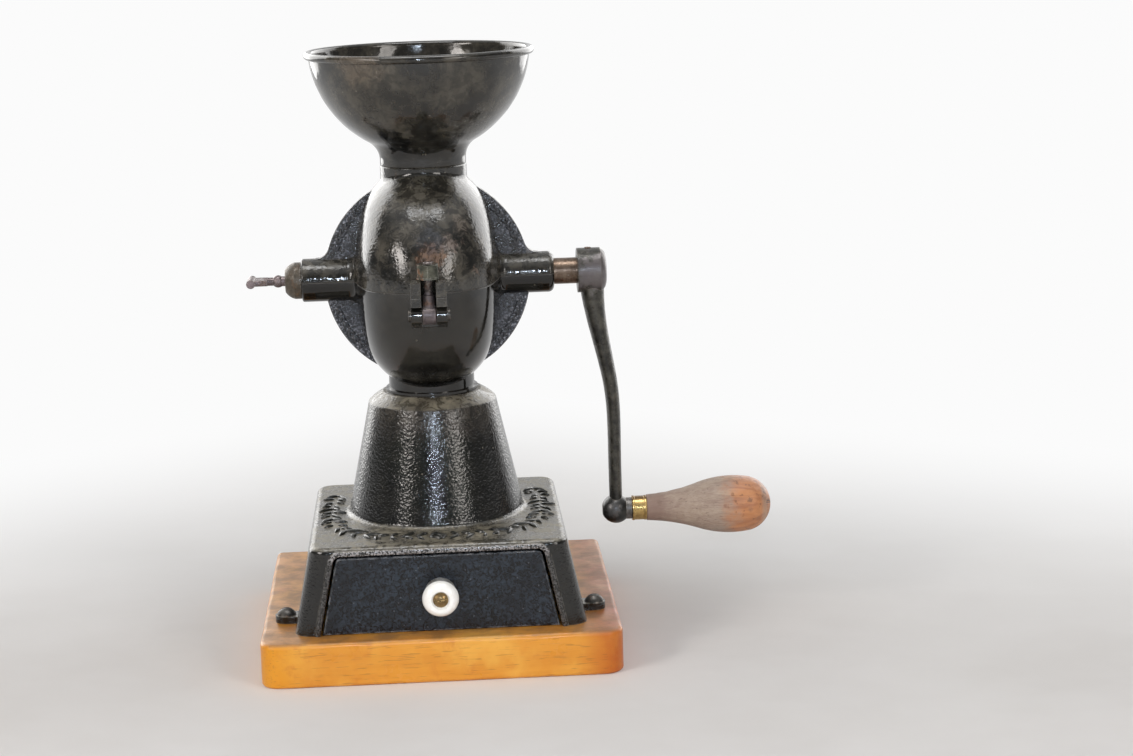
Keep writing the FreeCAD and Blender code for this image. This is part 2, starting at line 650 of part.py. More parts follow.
def base_housing():
    """Box shaped foot with leaning sides, a hollow tapered tower and three screw lugs, cast in one."""
    foot = Piece("base_housing")
    foot.wedge("shell", ("-foot_half_width", "foot_half_width", "-foot_front", "foot_back", "board_thick"),
               ("deck_inset_side - foot_half_width", "foot_half_width - deck_inset_side",
                "-foot_front", "foot_back - deck_inset_back", DECK))
    foot.round_edges("corners", "foot_corner", rising("foot_height / 2"))
    foot.round_edges("deck_rim", "deck_edge", in_plane("Z", DECK))
    tower = foot.outline("XZ", "tower", [
        ("0", f"{DECK} - foot_wall"), ("tower_radius_low", f"{DECK} - foot_wall"), ("tower_radius_low", DECK),
        ("tower_radius_top", f"{TOWER_TOP} - shoulder_drop", "shoulder_round", "left"),
        ("tower_radius_top - shoulder_inset", TOWER_TOP), ("0", TOWER_TOP)])
    foot.spin("tower", tower, "V")
    foot.round_edges("tower_root", "tower_fillet", ring("Z", DECK, "tower_radius_low"))
    foot.round_edges("shoulder_edge", "shoulder_edge", ring("Z", f"{TOWER_TOP} - shoulder_drop", "tower_radius_top"))
    side = "(lug_offset - foot_half_width + foot_wall / 2)"
    foot.block("left_lug", ("-lug_offset", "-lug_set - lug_radius", "board_thick"),
               (side, "2 * lug_radius", "lug_thick"))
    foot.block("right_lug", ("lug_offset - " + side, "-lug_set - lug_radius", "board_thick"),
               (side, "2 * lug_radius", "lug_thick"))
    foot.block("back_lug", ("-lug_radius", "foot_back - foot_wall / 2", "board_thick"),
               ("2 * lug_radius", "lug_back - foot_back + foot_wall / 2", "lug_thick"))
    for index, (across, along) in enumerate(LUGS, start=1):
        foot.drum(f"lug_end_{index}", "Z", (across, along, "board_thick"), "lug_radius", "lug_thick")
    bead_half_top = mouth_half("-mouth_bead", "mouth_height + mouth_bead")
    bead_half_low = mouth_half("-mouth_bead", "0")
    bead = foot.outline("XZ", "bead", [
        (f"-{bead_half_low}", "board_thick"), (bead_half_low, "board_thick"),
        (bead_half_top, "board_thick + mouth_height + mouth_bead"),
        (f"-{bead_half_top}", "board_thick + mouth_height + mouth_bead")], "foot_front - foot_wall / 2")
    foot.extrude("bead", bead, "foot_wall / 2 + bead_rise")
    high = number("board_thick + mouth_height")
    foot.round_edges("bead_corners", "mouth_corner + mouth_bead", lambda edge: (
        along_y(edge) and edge.BoundBox.YMin < number("-foot_front - bead_rise / 2") and edge.BoundBox.ZMin > high))
    foot.round_edges("bead_rim", "bead_round", lambda edge: (
        in_plane("Y", "-foot_front - bead_rise")(edge) and not in_plane("Z", "board_thick")(edge)))
    inner_half_low = "(foot_half_width - foot_wall)"
    inner_half_top = "(foot_half_width - foot_wall - deck_inset_side)"
    foot.wedge("inside", (f"-{inner_half_low}", inner_half_low, "foot_wall - foot_front", "foot_back - foot_wall",
                          "board_thick"),
               (f"-{inner_half_top}", inner_half_top, "foot_wall - foot_front",
                "foot_back - foot_wall - deck_inset_back", f"{DECK} - foot_wall"), cut=True)
    foot.taper("chute", "Z", ("0", "0", f"{DECK} - foot_wall - clear_gap"), "tower_radius_low - foot_wall",
               "tower_radius_top - foot_wall", "foot_wall + clear_gap + tower_height - tower_plate", cut=True)
    mouth = foot.outline("XZ", "mouth", [
        ("-mouth_half_low", "board_thick"), ("mouth_half_low", "board_thick"),
        ("mouth_half_top", "board_thick + mouth_height"), ("-mouth_half_top", "board_thick + mouth_height")],
        "foot_front - 2 * foot_wall")
    foot.extrude("mouth", mouth, "2 * foot_wall + 2 * bead_rise", cut=True)
    foot.round_edges("mouth_corners", "mouth_corner", lambda edge: (
        along_y(edge) and edge.BoundBox.YMin < number("-foot_front - bead_rise / 2")
        and abs(edge.BoundBox.ZMax - high) < 0.01))
    inner = number(mouth_half("-mouth_bead / 2", "0"))
    foot.round_edges("mouth_rim", "bead_round", lambda edge: (
        in_plane("Y", "-foot_front - bead_rise")(edge) and not in_plane("Z", "board_thick")(edge)
        and edge.BoundBox.ZMax < high + 0.01 and max(abs(edge.BoundBox.XMin), abs(edge.BoundBox.XMax)) < inner))
    foot.drum("tower_hole", "Z", ("0", "0", f"{TOWER_TOP} - 2 * tower_plate"), "tower_hole", "3 * tower_plate",
              cut=True)
    for index, (across, along) in enumerate(CASE_BOLTS, start=1):
        foot.drum(f"bolt_hole_{index}", "Z", (across, along, f"{TOWER_TOP} - 2 * tower_plate"),
                  "case_bolt_radius + running_fit", "3 * tower_plate", cut=True)
    for index, (across, along) in enumerate(LUGS, start=1):
        foot.drum(f"lug_hole_{index}", "Z", (across, along, "board_thick - lug_thick"),
                  "wood_screw_radius + clear_gap", "3 * lug_thick", cut=True)


def board_screws():
    """Round headed wood screws, slotted, through the lugs into the board."""
    screw = Piece("wood_screw", keep=False)
    head = screw.outline("XZ", "head", [
        ("0", "0"),
        ("screw_head_radius", "0", "(screw_head_radius^2 + screw_head_height^2) / (2 * screw_head_height)", "left"),
        ("0", "screw_head_height")])
    screw.spin("head", head, "V")
    screw.drum("shank", "Z", ("0", "0", "-lug_thick - wood_screw_length + screw_head_radius"), "wood_screw_radius",
               "lug_thick + wood_screw_length - screw_head_radius")
    screw.taper("tip", "Z", ("0", "0", "-lug_thick - wood_screw_length"), "wood_screw_radius / 8",
                "wood_screw_radius", "screw_head_radius")
    screw.block("slot", ("-screw_head_radius", "-slot_width / 2", "screw_head_height - slot_depth"),
                ("2 * screw_head_radius", "slot_width", "2 * slot_depth"), cut=True)
    copies("board_screws", screw, [(across, along, "board_thick + lug_thick") for across, along in LUGS])


# Grinding case, split level with the spindle

def tube_root_ends(radius):
    """Places where the sweep between a tube and the case's side starts on the tube and ends on the side."""
    reach = f"({SIDE_CURVE} + tube_root)"
    start_x = f"(sqrt({reach}^2 - ({radius} + tube_root)^2) - {SIDE_BACK})"
    share = f"({SIDE_CURVE} / {reach})"
    end_x = f"(({start_x} + {SIDE_BACK}) * {share} - {SIDE_BACK})"
    return (start_x, radius), (end_x, f"(({radius} + tube_root) * {share})")


def crown_meets_side(depth):
    """Where crown and side curve run into each other, on the face that lies so deep in the wall."""
    share = f"(({CROWN} - {depth}) / ({SIDE_CURVE} - {CROWN}))"
    return f"({SIDE_BACK} * {share})", f"({CROWN_UP} + {CROWN_UP} * {share})"


def web_sweep(radius):
    """Places where the upper web's sweep leaves its rim and where it meets a tube."""
    reach = "(web_radius + web_fillet)"
    foot_x = f"sqrt({reach}^2 - ({radius} + web_fillet)^2)"
    share = f"(web_radius / {reach})"
    return (f"({foot_x} * {share})", f"(({radius} + web_fillet) * {share})"), (f"({foot_x})", radius)


def case_half(label, half):
    """Half of the case with its half tubes and half web, before what differs between the halves."""
    case = Piece(label, ("0", "0", SHAFT))
    up = half == "upper"
    join_x, join_r = crown_meets_side("0")
    right_start, right_end = tube_root_ends("right_tube_radius")
    left_start, left_end = tube_root_ends("left_tube_radius")
    if up:
        (rim_x, rim_z), (foot_x, foot_z) = web_sweep("right_tube_radius")
        (left_rim_x, left_rim_z), (left_foot_x, left_foot_z) = web_sweep("left_tube_radius")
        corners = [(f"-{left_foot_x}", "0"), (foot_x, "0"), (foot_x, foot_z, "web_fillet", "right"),
                   (rim_x, rim_z, "web_radius", "left"), (f"-{left_rim_x}", left_rim_z, "web_fillet", "right"),
                   (f"-{left_foot_x}", left_foot_z)]
    else:
        corners = [("-web_radius", "0", "web_radius", "left"), ("0", "-web_radius", "web_radius", "left"),
                   ("web_radius", "0")]
    shell = case.outline("XY", "shell", [
        ("-left_tube_end", "0"), ("right_tube_end", "0"), ("right_tube_end", "right_tube_radius"),
        (*right_start, "tube_root", "right"), (*right_end, SIDE_CURVE, "left"), (join_x, join_r, CROWN, "left"),
        (f"-{join_x}", join_r, SIDE_CURVE, "left"), (f"-{left_end[0]}", left_end[1], "tube_root", "right"),
        (f"-{left_start[0]}", left_start[1]), ("-left_tube_end", "left_tube_radius")])
    case.spin("shell", shell, half=half)
    case.extrude("web", case.outline("XZ", "web", corners), "web_thick", middle=True)
    return case


def hollow_case(case, half):
    """Chamber inside a half, the trough round the feed worm with its bearing wall, and the bores of the tubes."""
    join_x, join_r = crown_meets_side("case_wall")
    inner_side = f"({SIDE_CURVE} - case_wall)"
    end_x = f"({inner_side} - {SIDE_BACK})"
    chamber = case.outline("XY", "chamber", [
        (f"-{end_x}", "0"), (end_x, "0", inner_side, "left"),
        (join_x, join_r, f"{CROWN} - case_wall", "left"), (f"-{join_x}", join_r, inner_side, "left")])
    case.spin("chamber", chamber, cut=True, half=half)
    trough_left = "(back_disc_face - clear_gap)" if half == "upper" else "back_disc_face"
    trough = case.outline("XY", "trough", [
        (f"-{trough_left}", "0"), (CROWN, "0"), (CROWN, "trough_radius + duct_wall"),
        (f"-{trough_left}", "trough_radius + duct_wall")])
    case.spin("trough", trough, half=half)


def bore_case(case):
    """Bores along the spindle's axis, through both tubes and the trough."""
    bores = [
        ("trough_bore", "-2 * back_disc_face", "trough_radius", "trough_end + 2 * back_disc_face"),
        ("right_bore", "0", "spindle_radius + running_fit", "2 * right_tube_end"),
        ("left_bore", f"-{BORE_END} - clear_gap", "spindle_radius + running_fit", BORE_END),
        ("plug_bore", "-2 * left_tube_end", "plug_thread_radius + running_fit", f"2 * left_tube_end - {BORE_END}"),
    ]
    for name, start, radius, length in bores:
        case.drum(name, "X", (start, "0", "0"), radius, length, cut=True)


def upper_casing():
    """Upper half: neck for the hopper, duct down to the worm, two hinge knuckles and the clamp fork."""
    case = case_half("upper_casing", "upper")
    case.drum("neck", "Z", ("0", "0", f"{SOCKET} - duct_wall"), "neck_radius", "spigot_depth + duct_wall")
    case.round_edges("neck_rim", "neck_edge", ring("Z", "neck_rise", "neck_radius"))
    case.round_edges("neck_root", "neck_root", lambda edge: (
        edge.BoundBox.ZMin > number(CROWN_UP) and edge.BoundBox.ZMax < number("neck_rise - neck_edge")
        and edge.BoundBox.ZLength > 0.01
        and max(abs(edge.BoundBox.XMin), abs(edge.BoundBox.XMax)) < number("neck_radius") + 0.01))
    hollow_case(case, "upper")
    inner_neck = "(neck_radius - neck_edge)"
    funnel = f"({inner_neck} - duct_radius - duct_wall)"
    case.drum("inner_neck", "Z", ("0", "0", f"{SOCKET} - duct_wall"), inner_neck, "duct_wall + neck_edge")
    case.taper("funnel", "Z", ("0", "0", f"{SOCKET} - duct_wall - {funnel}"), "duct_radius + duct_wall",
               inner_neck, funnel)
    case.drum("duct", "Z", ("0", "0", "trough_radius"), "duct_radius + duct_wall",
              f"{SOCKET} - {funnel} - trough_radius")
    knuckle = "(knuckle_half + clear_gap)"
    for name, start in (("left", f"-{knuckle} - knuckle_side"), ("right", knuckle)):
        case.block(f"{name}_knuckle_arm", (start, "case_radius - case_wall / 2", "0"),
                   ("knuckle_side", "hinge_set - case_radius + case_wall / 2", "knuckle_radius"))
        case.drum(f"{name}_knuckle", "X", (start, "hinge_set", "0"), "knuckle_radius", "knuckle_side")
    case.drum("pin_bore", "X", (f"-2 * {knuckle} - knuckle_side", "hinge_set", "0"), "hinge_pin_radius + running_fit",
              f"4 * {knuckle} + 2 * knuckle_side", cut=True)
    clamp_fork(case)
    bore_case(case)
    case.drum("socket", "Z", ("0", "0", SOCKET), "spigot_radius + seat_fit", "2 * spigot_depth", cut=True)
    slope = f"({THROAT} - duct_radius)"
    case.taper("throat", "Z", ("0", "0", f"{SOCKET} - {slope}"), "duct_radius", THROAT, slope, cut=True)
    case.drum("duct_bore", "Z", ("0", "0", "0"), "duct_radius", SOCKET, cut=True)
    for name, at, radius, edge in (("left_tube_end", "-left_tube_end", "left_tube_radius", "left_tube_edge"),
                                   ("right_tube_end", "right_tube_end", "right_tube_radius", "right_tube_edge")):
        case.round_edges(name, edge, ring("X", at, radius))


def clamp_fork(case):
    """Slotted fork in front. Its top is round about the clamp pin, so that the swing bolt passes over it."""
    front, back = "fork_front", "(case_radius + clear_gap)"
    top_front = "(sqrt(clamp_reach^2 - fork_out^2) - clamp_drop)"
    top_back = "(sqrt(clamp_reach^2 - (clamp_out + 2 * case_wall / 3)^2) - clamp_drop)"
    root = "(case_radius - 2 * case_wall / 3)"
    side = case.outline("YZ", "fork", [
        (f"-{front}", "-fork_lap"), (f"-{back}", "-fork_lap"), (f"-{back}", "0"), (f"-{root}", "0"),
        (f"-{root}", top_back, "clamp_reach", "left"), (f"-{front}", top_front)])
    case.extrude("fork", side, "2 * fork_half_width", middle=True)
    case.round_edges("fork_edges", "fork_edge", lambda edge: (
        edge.BoundBox.YMax < number(f"-{front}") + 0.01 and edge.BoundBox.XLength < 0.01))
    case.drum("slot_end", "Z", ("0", "-clamp_set", "-2 * fork_lap"), "fork_slot", "8 * fork_lap", cut=True)
    case.block("slot", ("-fork_slot", "-fork_front - fork_slot", "-2 * fork_lap"),
               ("2 * fork_slot", "fork_front + fork_slot - clamp_set", "8 * fork_lap"), cut=True)


def lower_casing():
    """Lower half: waist and outlet over the tower, disc behind the fixed burr, middle knuckle and clamp ears."""
    case = case_half("lower_casing", "lower")
    case.drum("waist", "Z", ("0", "0", "-case_rise"), "collar_radius", "case_rise - trough_radius - duct_wall")
    case.drum("ledge", "Z", ("0", "0", "-case_rise"), "flange_radius", "flange_thick")
    case.drum("spigot", "Z", ("0", "0", "-case_rise - spigot_low"), "tower_hole - seat_fit", "2 * spigot_low")
    hollow_case(case, "lower")
    disc = case.outline("XY", "disc", [
        ("-back_disc_face", "0"), ("back_disc_thick - back_disc_face", "0"),
        ("back_disc_thick - back_disc_face", "back_disc_radius"), ("-back_disc_face", "back_disc_radius")])
    case.spin("disc", disc, half="lower")
    reach = f"({CROWN_UP} + sqrt({CROWN}^2 - back_disc_face^2) - case_wall / 4)"
    case.block("shelf", ("-back_disc_face", f"-{reach}", "-shelf_thick"),
               ("shelf_width", f"2 * {reach}", "shelf_thick"))
    case.block("knuckle_arm", ("-knuckle_half", "case_radius - case_wall / 2", "-knuckle_radius"),
               ("2 * knuckle_half", "hinge_set - case_radius + case_wall / 2", "knuckle_radius"))
    case.drum("knuckle", "X", ("-knuckle_half", "hinge_set", "0"), "knuckle_radius", "2 * knuckle_half")
    case.drum("pin_bore", "X", ("-2 * knuckle_half", "hinge_set", "0"), "hinge_pin_radius + seat_fit",
              "4 * knuckle_half", cut=True)
    clamp_ears(case)
    bore_case(case)
    case.drum("outlet", "Z", ("0", "0", "-case_rise - 2 * spigot_low"), "outlet_radius",
              "case_rise + 2 * spigot_low - trough_radius - 2 * duct_wall", cut=True)
    for index, (across, along) in enumerate(CASE_BOLTS, start=1):
        case.drum(f"bolt_hole_{index}", "Z", (across, along, "-case_rise - spigot_low"),
                  "case_bolt_radius + seat_fit", "spigot_low + case_bolt_bite + clear_gap", cut=True)
    for index, (along, up) in enumerate(BURR_SCREWS, start=1):
        case.drum(f"burr_screw_hole_{index}", "X", ("-2 * back_disc_face", along, up),
                  "burr_screw_radius + seat_fit", "2 * back_disc_face", cut=True)
    for name, at, radius, edge in (("left_tube_end", "-left_tube_end", "left_tube_radius", "left_tube_edge"),
                                   ("right_tube_end", "right_tube_end", "right_tube_radius", "right_tube_edge")):
        case.round_edges(name, edge, ring("X", at, radius))


def clamp_ears(case):
    """Two ears in front that hold the pin of the swing bolt."""
    root = "(case_radius - 2 * case_wall / 3)"
    low = "(clamp_drop + ear_radius)"
    side = case.outline("YZ", "ears", [
        ("-clamp_set", f"-{low}"), (f"-{root} + case_wall", f"-{low} - ear_radius"),
        (f"-{root} + case_wall / 2", "-fork_lap - clear_gap"), ("-clamp_set", "-fork_lap - clear_gap")])
    case.extrude("ears", side, "2 * fork_half_width", middle=True)
    case.drum("ear_ends", "X", ("-fork_half_width", "-clamp_set", "-clamp_drop"), "ear_radius", "2 * fork_half_width")
    case.block("ear_slot", ("-fork_slot", "-clamp_set - 2 * ear_radius", f"-{low} - 2 * ear_radius"),
               ("2 * fork_slot", "clamp_set - case_radius - clear_gap + 2 * ear_radius", "4 * ear_radius"), cut=True)
    case.drum("clamp_bore", "X", ("-2 * fork_half_width", "-clamp_set", "-clamp_drop"), "clamp_pin_radius + seat_fit",
              "4 * fork_half_width", cut=True)


def riveted_pin(label, centre, radius, half_length):
    """Pin along X with a flat riveted head at each end."""
    pin = Piece(label, ("0", *centre))
    pin.drum("shank", "X", (f"-{half_length}", "0", "0"), radius, f"2 * {half_length}")
    for name, start in (("left_head", f"-{half_length} - pin_head_thick"), ("right_head", half_length)):
        pin.drum(name, "X", (start, "0", "0"), "pin_head_radius", "pin_head_thick")


def casing_bolts():
    """Hexagon bolts that come up through the tower's top into the lower half."""
    bolt = Piece("casing_bolt", keep=False)
    bolt.hexagon("head", ("0", "0"), "case_bolt_flats", "case_bolt_head", "-tower_plate - case_bolt_head")
    bolt.drum("shank", "Z", ("0", "0", "-tower_plate - case_bolt_head / 2"), "case_bolt_radius",
              "tower_plate + case_bolt_head / 2 + case_bolt_bite")
    copies("casing_bolts", bolt, [(across, along, TOWER_TOP) for across, along in CASE_BOLTS])


# Hopper

def hopper():
    """Round bowl on a short neck, with a spigot in the case's neck and a rolled rim."""
    bowl = Piece("hopper", ("0", "0", f"{SHAFT} + neck_rise"))
    sweep_r = "(hopper_neck + hopper_sweep)"
    reach = "(bowl_radius + hopper_sweep)"
    sweep_z = f"(bowl_centre - sqrt({reach}^2 - {sweep_r}^2))"
    outer, inner = f"(bowl_radius / {reach})", f"((bowl_radius - hopper_wall) / {reach})"
    drop = "(bowl_centre - rim_height)"
    shell = bowl.outline("XZ", "shell", [
        (THROAT, "-spigot_depth"), ("spigot_radius", "-spigot_depth"), ("spigot_radius", "0"), ("hopper_neck", "0"),
        ("hopper_neck", sweep_z, "hopper_sweep", "right"),
        (f"{sweep_r} * {outer}", f"bowl_centre - (bowl_centre - {sweep_z}) * {outer}", "bowl_radius", "left"),
        (f"sqrt(bowl_radius^2 - {drop}^2)", "rim_height"),
        (f"sqrt((bowl_radius - hopper_wall)^2 - {drop}^2)", "rim_height", "bowl_radius - hopper_wall", "right"),
        (f"{sweep_r} * {inner}", f"bowl_centre - (bowl_centre - {sweep_z}) * {inner}",
         "hopper_sweep + hopper_wall", "left"),
        ("hopper_neck - hopper_wall", sweep_z), (THROAT, "0")])
    bowl.spin("shell", shell, "V")
    bowl.spin("rim", bowl.circle("XZ", "rim", ("bowl_radius", "rim_height"), "rim_bead"), "V")


# Clamp: swing bolt, washer and nut

def swing_bolt():
    """Eye bolt on the clamp pin, standing up through the fork."""
    bolt = Piece("swing_bolt", ("0", "-clamp_set", CLAMP_Z))
    bolt.drum("eye", "X", ("-eye_half", "0", "0"), "eye_radius", "2 * eye_half")
    bolt.drum("root", "Z", ("0", "0", "0"), "bolt_root_radius", "bolt_root_rise")
    bolt.drum("thread", "Z", ("0", "0", "0"), "bolt_radius", "bolt_rise")
    bolt.round_edges("tip", "bolt_radius / 4", ring("Z", "bolt_rise", "bolt_radius"))
    bolt.drum("eye_bore", "X", ("-2 * eye_half", "0", "0"), "clamp_pin_radius + running_fit", "4 * eye_half",
              cut=True)


def clamp_nut():
    """Hexagon nut with its corners sloped off above, and the round washer below it."""
    washer = Piece("clamp_washer", ("0", "-clamp_set", f"{CLAMP_Z} + clamp_reach + clear_gap"))
    washer.drum("disc", "Z", ("0", "0", "0"), "washer_radius", "washer_thick")
    washer.drum("hole", "Z", ("0", "0", "-washer_thick"), "bolt_radius + running_fit", "3 * washer_thick", cut=True)
    nut = Piece("clamp_nut", ("0", "-clamp_set", f"{CLAMP_Z} + clamp_reach + clear_gap + washer_thick"))
    nut.hexagon("body", ("0", "0"), "nut_flats", "nut_height", "0")
    corner = "(nut_flats / sqrt(3))"
    slope = nut.outline("XZ", "slope", [
        (f"{corner} - nut_chamfer", "nut_height + nut_chamfer"), (f"{corner} - nut_chamfer", "nut_height"),
        (f"{corner} + nut_chamfer", "nut_height - nut_chamfer"),
        (f"{corner} + nut_chamfer", "nut_height + nut_chamfer")])
    nut.spin("slope", slope, "V", cut=True)
    nut.drum("thread", "Z", ("0", "0", "-nut_height"), "bolt_radius + running_fit", "3 * nut_height", cut=True)


# Spindle line inside the case

def across_pin(label, at, radius, half_length):
    """Cross pin through the spindle."""
    pin = Piece(label, (at, "0", SHAFT))
    pin.drum("shank", "Z", ("0", "0", f"-{half_length}"), radius, f"2 * {half_length}")


WORM_PIN = "(worm_length - worm_left - 2 * pin_radius)"
BURR_PIN = f"(-{TURNING_BACK} - hub_length / 2)"
CRANK_PIN = "(boss_start + crank_seat / 2)"


def spindle():
    """Plain shaft with a smaller seat for the crank and cross holes for its three pins."""
    shaft = Piece("spindle", ("0", "0", SHAFT))
    shaft.drum("shank", "X", ("-spindle_left", "0", "0"), "spindle_radius", "spindle_left + boss_start")
    shaft.drum("crank_seat", "X", ("boss_start - crank_seat", "0", "0"), "crank_seat_radius", "2 * crank_seat")
    for name, at, radius in (("worm_pin", WORM_PIN, "pin_radius"), ("burr_pin", BURR_PIN, "pin_radius"),
                             ("crank_pin", CRANK_PIN, "crank_pin_radius")):
        shaft.drum(f"{name}_hole", "Z", (at, "0", "-2 * spindle_radius"), f"{radius} + seat_fit", "4 * spindle_radius",
                   cut=True)


def feed_worm():
    """Left handed feed screw that carries the beans to the burrs."""
    worm = Piece("feed_worm", ("-worm_left", "0", SHAFT))
    worm.drum("core", "X", ("0", "0", "0"), "worm_core", "worm_length")
    blade = worm.outline("XZ", "blade", [
        ("0", "worm_core - clear_gap"), ("worm_blade", "worm_core - clear_gap"),
        ("3 * worm_blade / 4", "worm_radius"), ("worm_blade / 4", "worm_radius")])
    coil = worm.feature("AdditiveHelix", "coil")
    coil.Profile = blade
    coil.ReferenceAxis = (blade, ["H_Axis"])
    coil.Mode = "pitch-height-angle"
    coil.LeftHanded = True
    bind(coil, {"Pitch": "worm_pitch", "Height": "worm_length - worm_blade"})
    doc.recompute()
    worm.drum("bore", "X", ("-worm_length", "0", "0"), "spindle_radius + seat_fit", "3 * worm_length", cut=True)
    worm.drum("pin_hole", "Z", (f"{WORM_PIN} + worm_left", "0", "-2 * worm_radius"), "pin_radius + seat_fit",
              "4 * worm_radius", cut=True)


BURR_GROOVES = 18


def groove_burr(burr, start):
    """Radial grooves in the face of a burr, from their lowest place along the spindle."""
    groove = burr.block("groove", (start, "burr_eye / 2", "-burr_groove_width / 2"),
                        ("burr_groove", "2 * burr_radius", "burr_groove_width"), cut=True)
    burr.around("grooves", groove, "X", BURR_GROOVES)


def burrs():
    """Fixed burr on its disc with its three screws, and the turning burr with its hub."""
    fixed = Piece("stationary_burr", ("0", "0", SHAFT))
    fixed.drum("disc", "X", (f"-{FIXED_FACE}", "0", "0"), "burr_radius", "burr_thick")
    groove_burr(fixed, f"-{FIXED_FACE}")
    fixed.taper("mouth", "X", (f"-{FIXED_FACE}", "0", "0"), "burr_eye", "trough_radius", "burr_thick", cut=True)
    for index, (along, up) in enumerate(BURR_SCREWS, start=1):
        fixed.drum(f"screw_seat_{index}", "X", (f"-{FIXED_FACE}", along, up), "burr_screw_head + seat_fit",
                   "burr_thick / 2", cut=True)
        fixed.drum(f"screw_hole_{index}", "X", (f"-{FIXED_FACE}", along, up), "burr_screw_radius + seat_fit",
                   "2 * burr_thick", cut=True)
    screw = Piece("burr_screw", keep=False)
    screw.drum("head", "X", ("-burr_thick + burr_groove / 4", "0", "0"), "burr_screw_head",
               "burr_thick / 2 - burr_groove / 4")
    screw.drum("shank", "X", ("-burr_thick + burr_groove", "0", "0"), "burr_screw_radius",
               "burr_thick + back_disc_thick - burr_groove")
    copies("burr_screws", screw, [("-back_disc_face", along, f"{SHAFT} + ({up})") for along, up in BURR_SCREWS])
    turning = Piece("rotating_burr", ("0", "0", SHAFT))
    turning.drum("disc", "X", (f"-{TURNING_BACK}", "0", "0"), "burr_radius", "burr_thick")
    turning.drum("hub", "X", (f"-{TURNING_BACK} - hub_length", "0", "0"), "hub_radius", "2 * hub_length")
    groove_burr(turning, f"-{TURNING_FACE} - burr_groove")
    turning.drum("bore", "X", (f"-2 * {TURNING_BACK}", "0", "0"), "spindle_radius + seat_fit",
                 f"2 * {TURNING_BACK}", cut=True)
    turning.drum("pin_hole", "Z", (BURR_PIN, "0", "-2 * hub_radius"), "pin_radius + seat_fit", "4 * hub_radius",
                 cut=True)


def thrust_pad():
    """Hardened button between the thumb screw and the spindle's end."""
    button = Piece("thrust_pad", ("0", "0", SHAFT))
    button.drum("disc", "X", (f"-{BUTTON_END}", "0", "0"), "spindle_radius", "button_thick")


def adjuster_plug():
    """Domed plug screwed into the left tube, threaded inside for the thumb screw."""
    plug = Piece("adjuster_plug", ("0", "0", SHAFT))
    seat = "(left_tube_end + clear_gap)"
    end = f"({seat} + plug_length)"
    side = plug.outline("XZ", "head", [
        (f"-{seat}", "0"), (f"-{seat}", "plug_radius"),
        (f"-{seat} - plug_rim", "plug_radius", "plug_length", "left"), (f"-{end}", "plug_nose_radius"),
        (f"-{end}", "0")])
    plug.spin("head", side)
    plug.drum("thread", "X", (f"-{seat} - plug_rim / 2", "0", "0"), "plug_thread_radius",
              "plug_thread + clear_gap + plug_rim / 2")
    plug.drum("bore", "X", ("-2 * left_tube_end", "0", "0"), "screw_radius + running_fit", "2 * left_tube_end",
              cut=True)


def thumb_screw():
    """Screw that sets the grind, with a flat finger blade and a bead along its end."""
    screw = Piece("thumb_screw", ("0", "0", SHAFT))
    blade_start = "(screw_reach - blade_length)"
    screw.drum("thread", "X", ("-screw_collar_set", "0", "0"), "screw_radius", f"screw_collar_set - {BUTTON_END}")
    screw.ball("collar", ("-screw_collar_set", "0", "0"), "screw_collar")
    screw.drum("neck", "X", (f"-{blade_start} - screw_neck", "0", "0"), "screw_neck",
               f"{blade_start} + screw_neck - screw_collar_set")
    screw.block("blade", ("blade_bead - screw_reach", "-blade_width / 2", "-blade_thick / 2"),
                ("blade_length - blade_bead", "blade_width", "blade_thick"))
    screw.round_edges("blade_edges", "blade_thick / 3", lambda edge: (
        edge.BoundBox.XLength > number("blade_length / 2") and abs(edge.BoundBox.YMin) > number("blade_width / 3")))
    screw.drum("bead", "Y", ("blade_bead - screw_reach", "-blade_width / 2 - blade_bead / 2", "0"), "blade_bead",
               "blade_width + blade_bead")


# Crank and handle

ARM_LEVELS = 9
ARM_FLARE = 3.5


def crank_arm():
    """Bent arm: a boss on the spindle, an oval arm that swings outwards on its way down, and a ball."""
    crank = Piece("crank_arm", ("0", "0", SHAFT))
    boss_end = "(boss_start + boss_length)"
    boss = crank.outline("XZ", "boss", [
        ("boss_start", "0"), (boss_end, "0"), (boss_end, "boss_radius / 2", "2 * boss_edge", "left"),
        (f"{boss_end} - boss_edge", "boss_radius"), ("boss_start", "boss_radius")])
    crank.spin("boss", boss)
    sections = []
    for level in range(ARM_LEVELS):
        share = level / (ARM_LEVELS - 1)
        drop = f"({share} * crank_throw)"
        bend = min(max((number(drop) - number("arm_bend_start")) / number("arm_bend_end - arm_bend_start"), 0), 1)
        swing = round(0.5 - 0.5 * math.cos(math.pi * bend), 4)
        sections.append(crank.ellipse(
            f"level_{level}", f"(boss_start + boss_length / 2 + {swing} * arm_offset)",
            f"(arm_thick_low + {round((1 - share) ** ARM_FLARE, 4)} * (arm_thick_top - arm_thick_low))",
            f"(arm_wide_top + {share} * (arm_wide_low - arm_wide_top))", f"-{drop}"))
    crank.loft("arm", sections)
    crank.ball("ball", (BALL_X, "0", "-crank_throw"), "ball_radius")
    crank.drum("ball_face", "X", (f"{BALL_X} + ball_flat", "0", "-crank_throw"), "2 * ball_radius", "ball_radius",
               cut=True)
    crank.drum("seat", "X", ("boss_start - crank_seat", "0", "0"), "crank_seat_radius + seat_fit",
               "2 * crank_seat + clear_gap", cut=True)
    crank.drum("pin_hole", "Z", (CRANK_PIN, "0", "-2 * boss_radius"), "crank_pin_radius + seat_fit", "4 * boss_radius",
               cut=True)
    crank.drum("spindle_hole", "X", (f"{BALL_X} - 2 * ball_radius", "0", "-crank_throw"), "grip_pin_radius + seat_fit",
               "4 * ball_radius", cut=True)


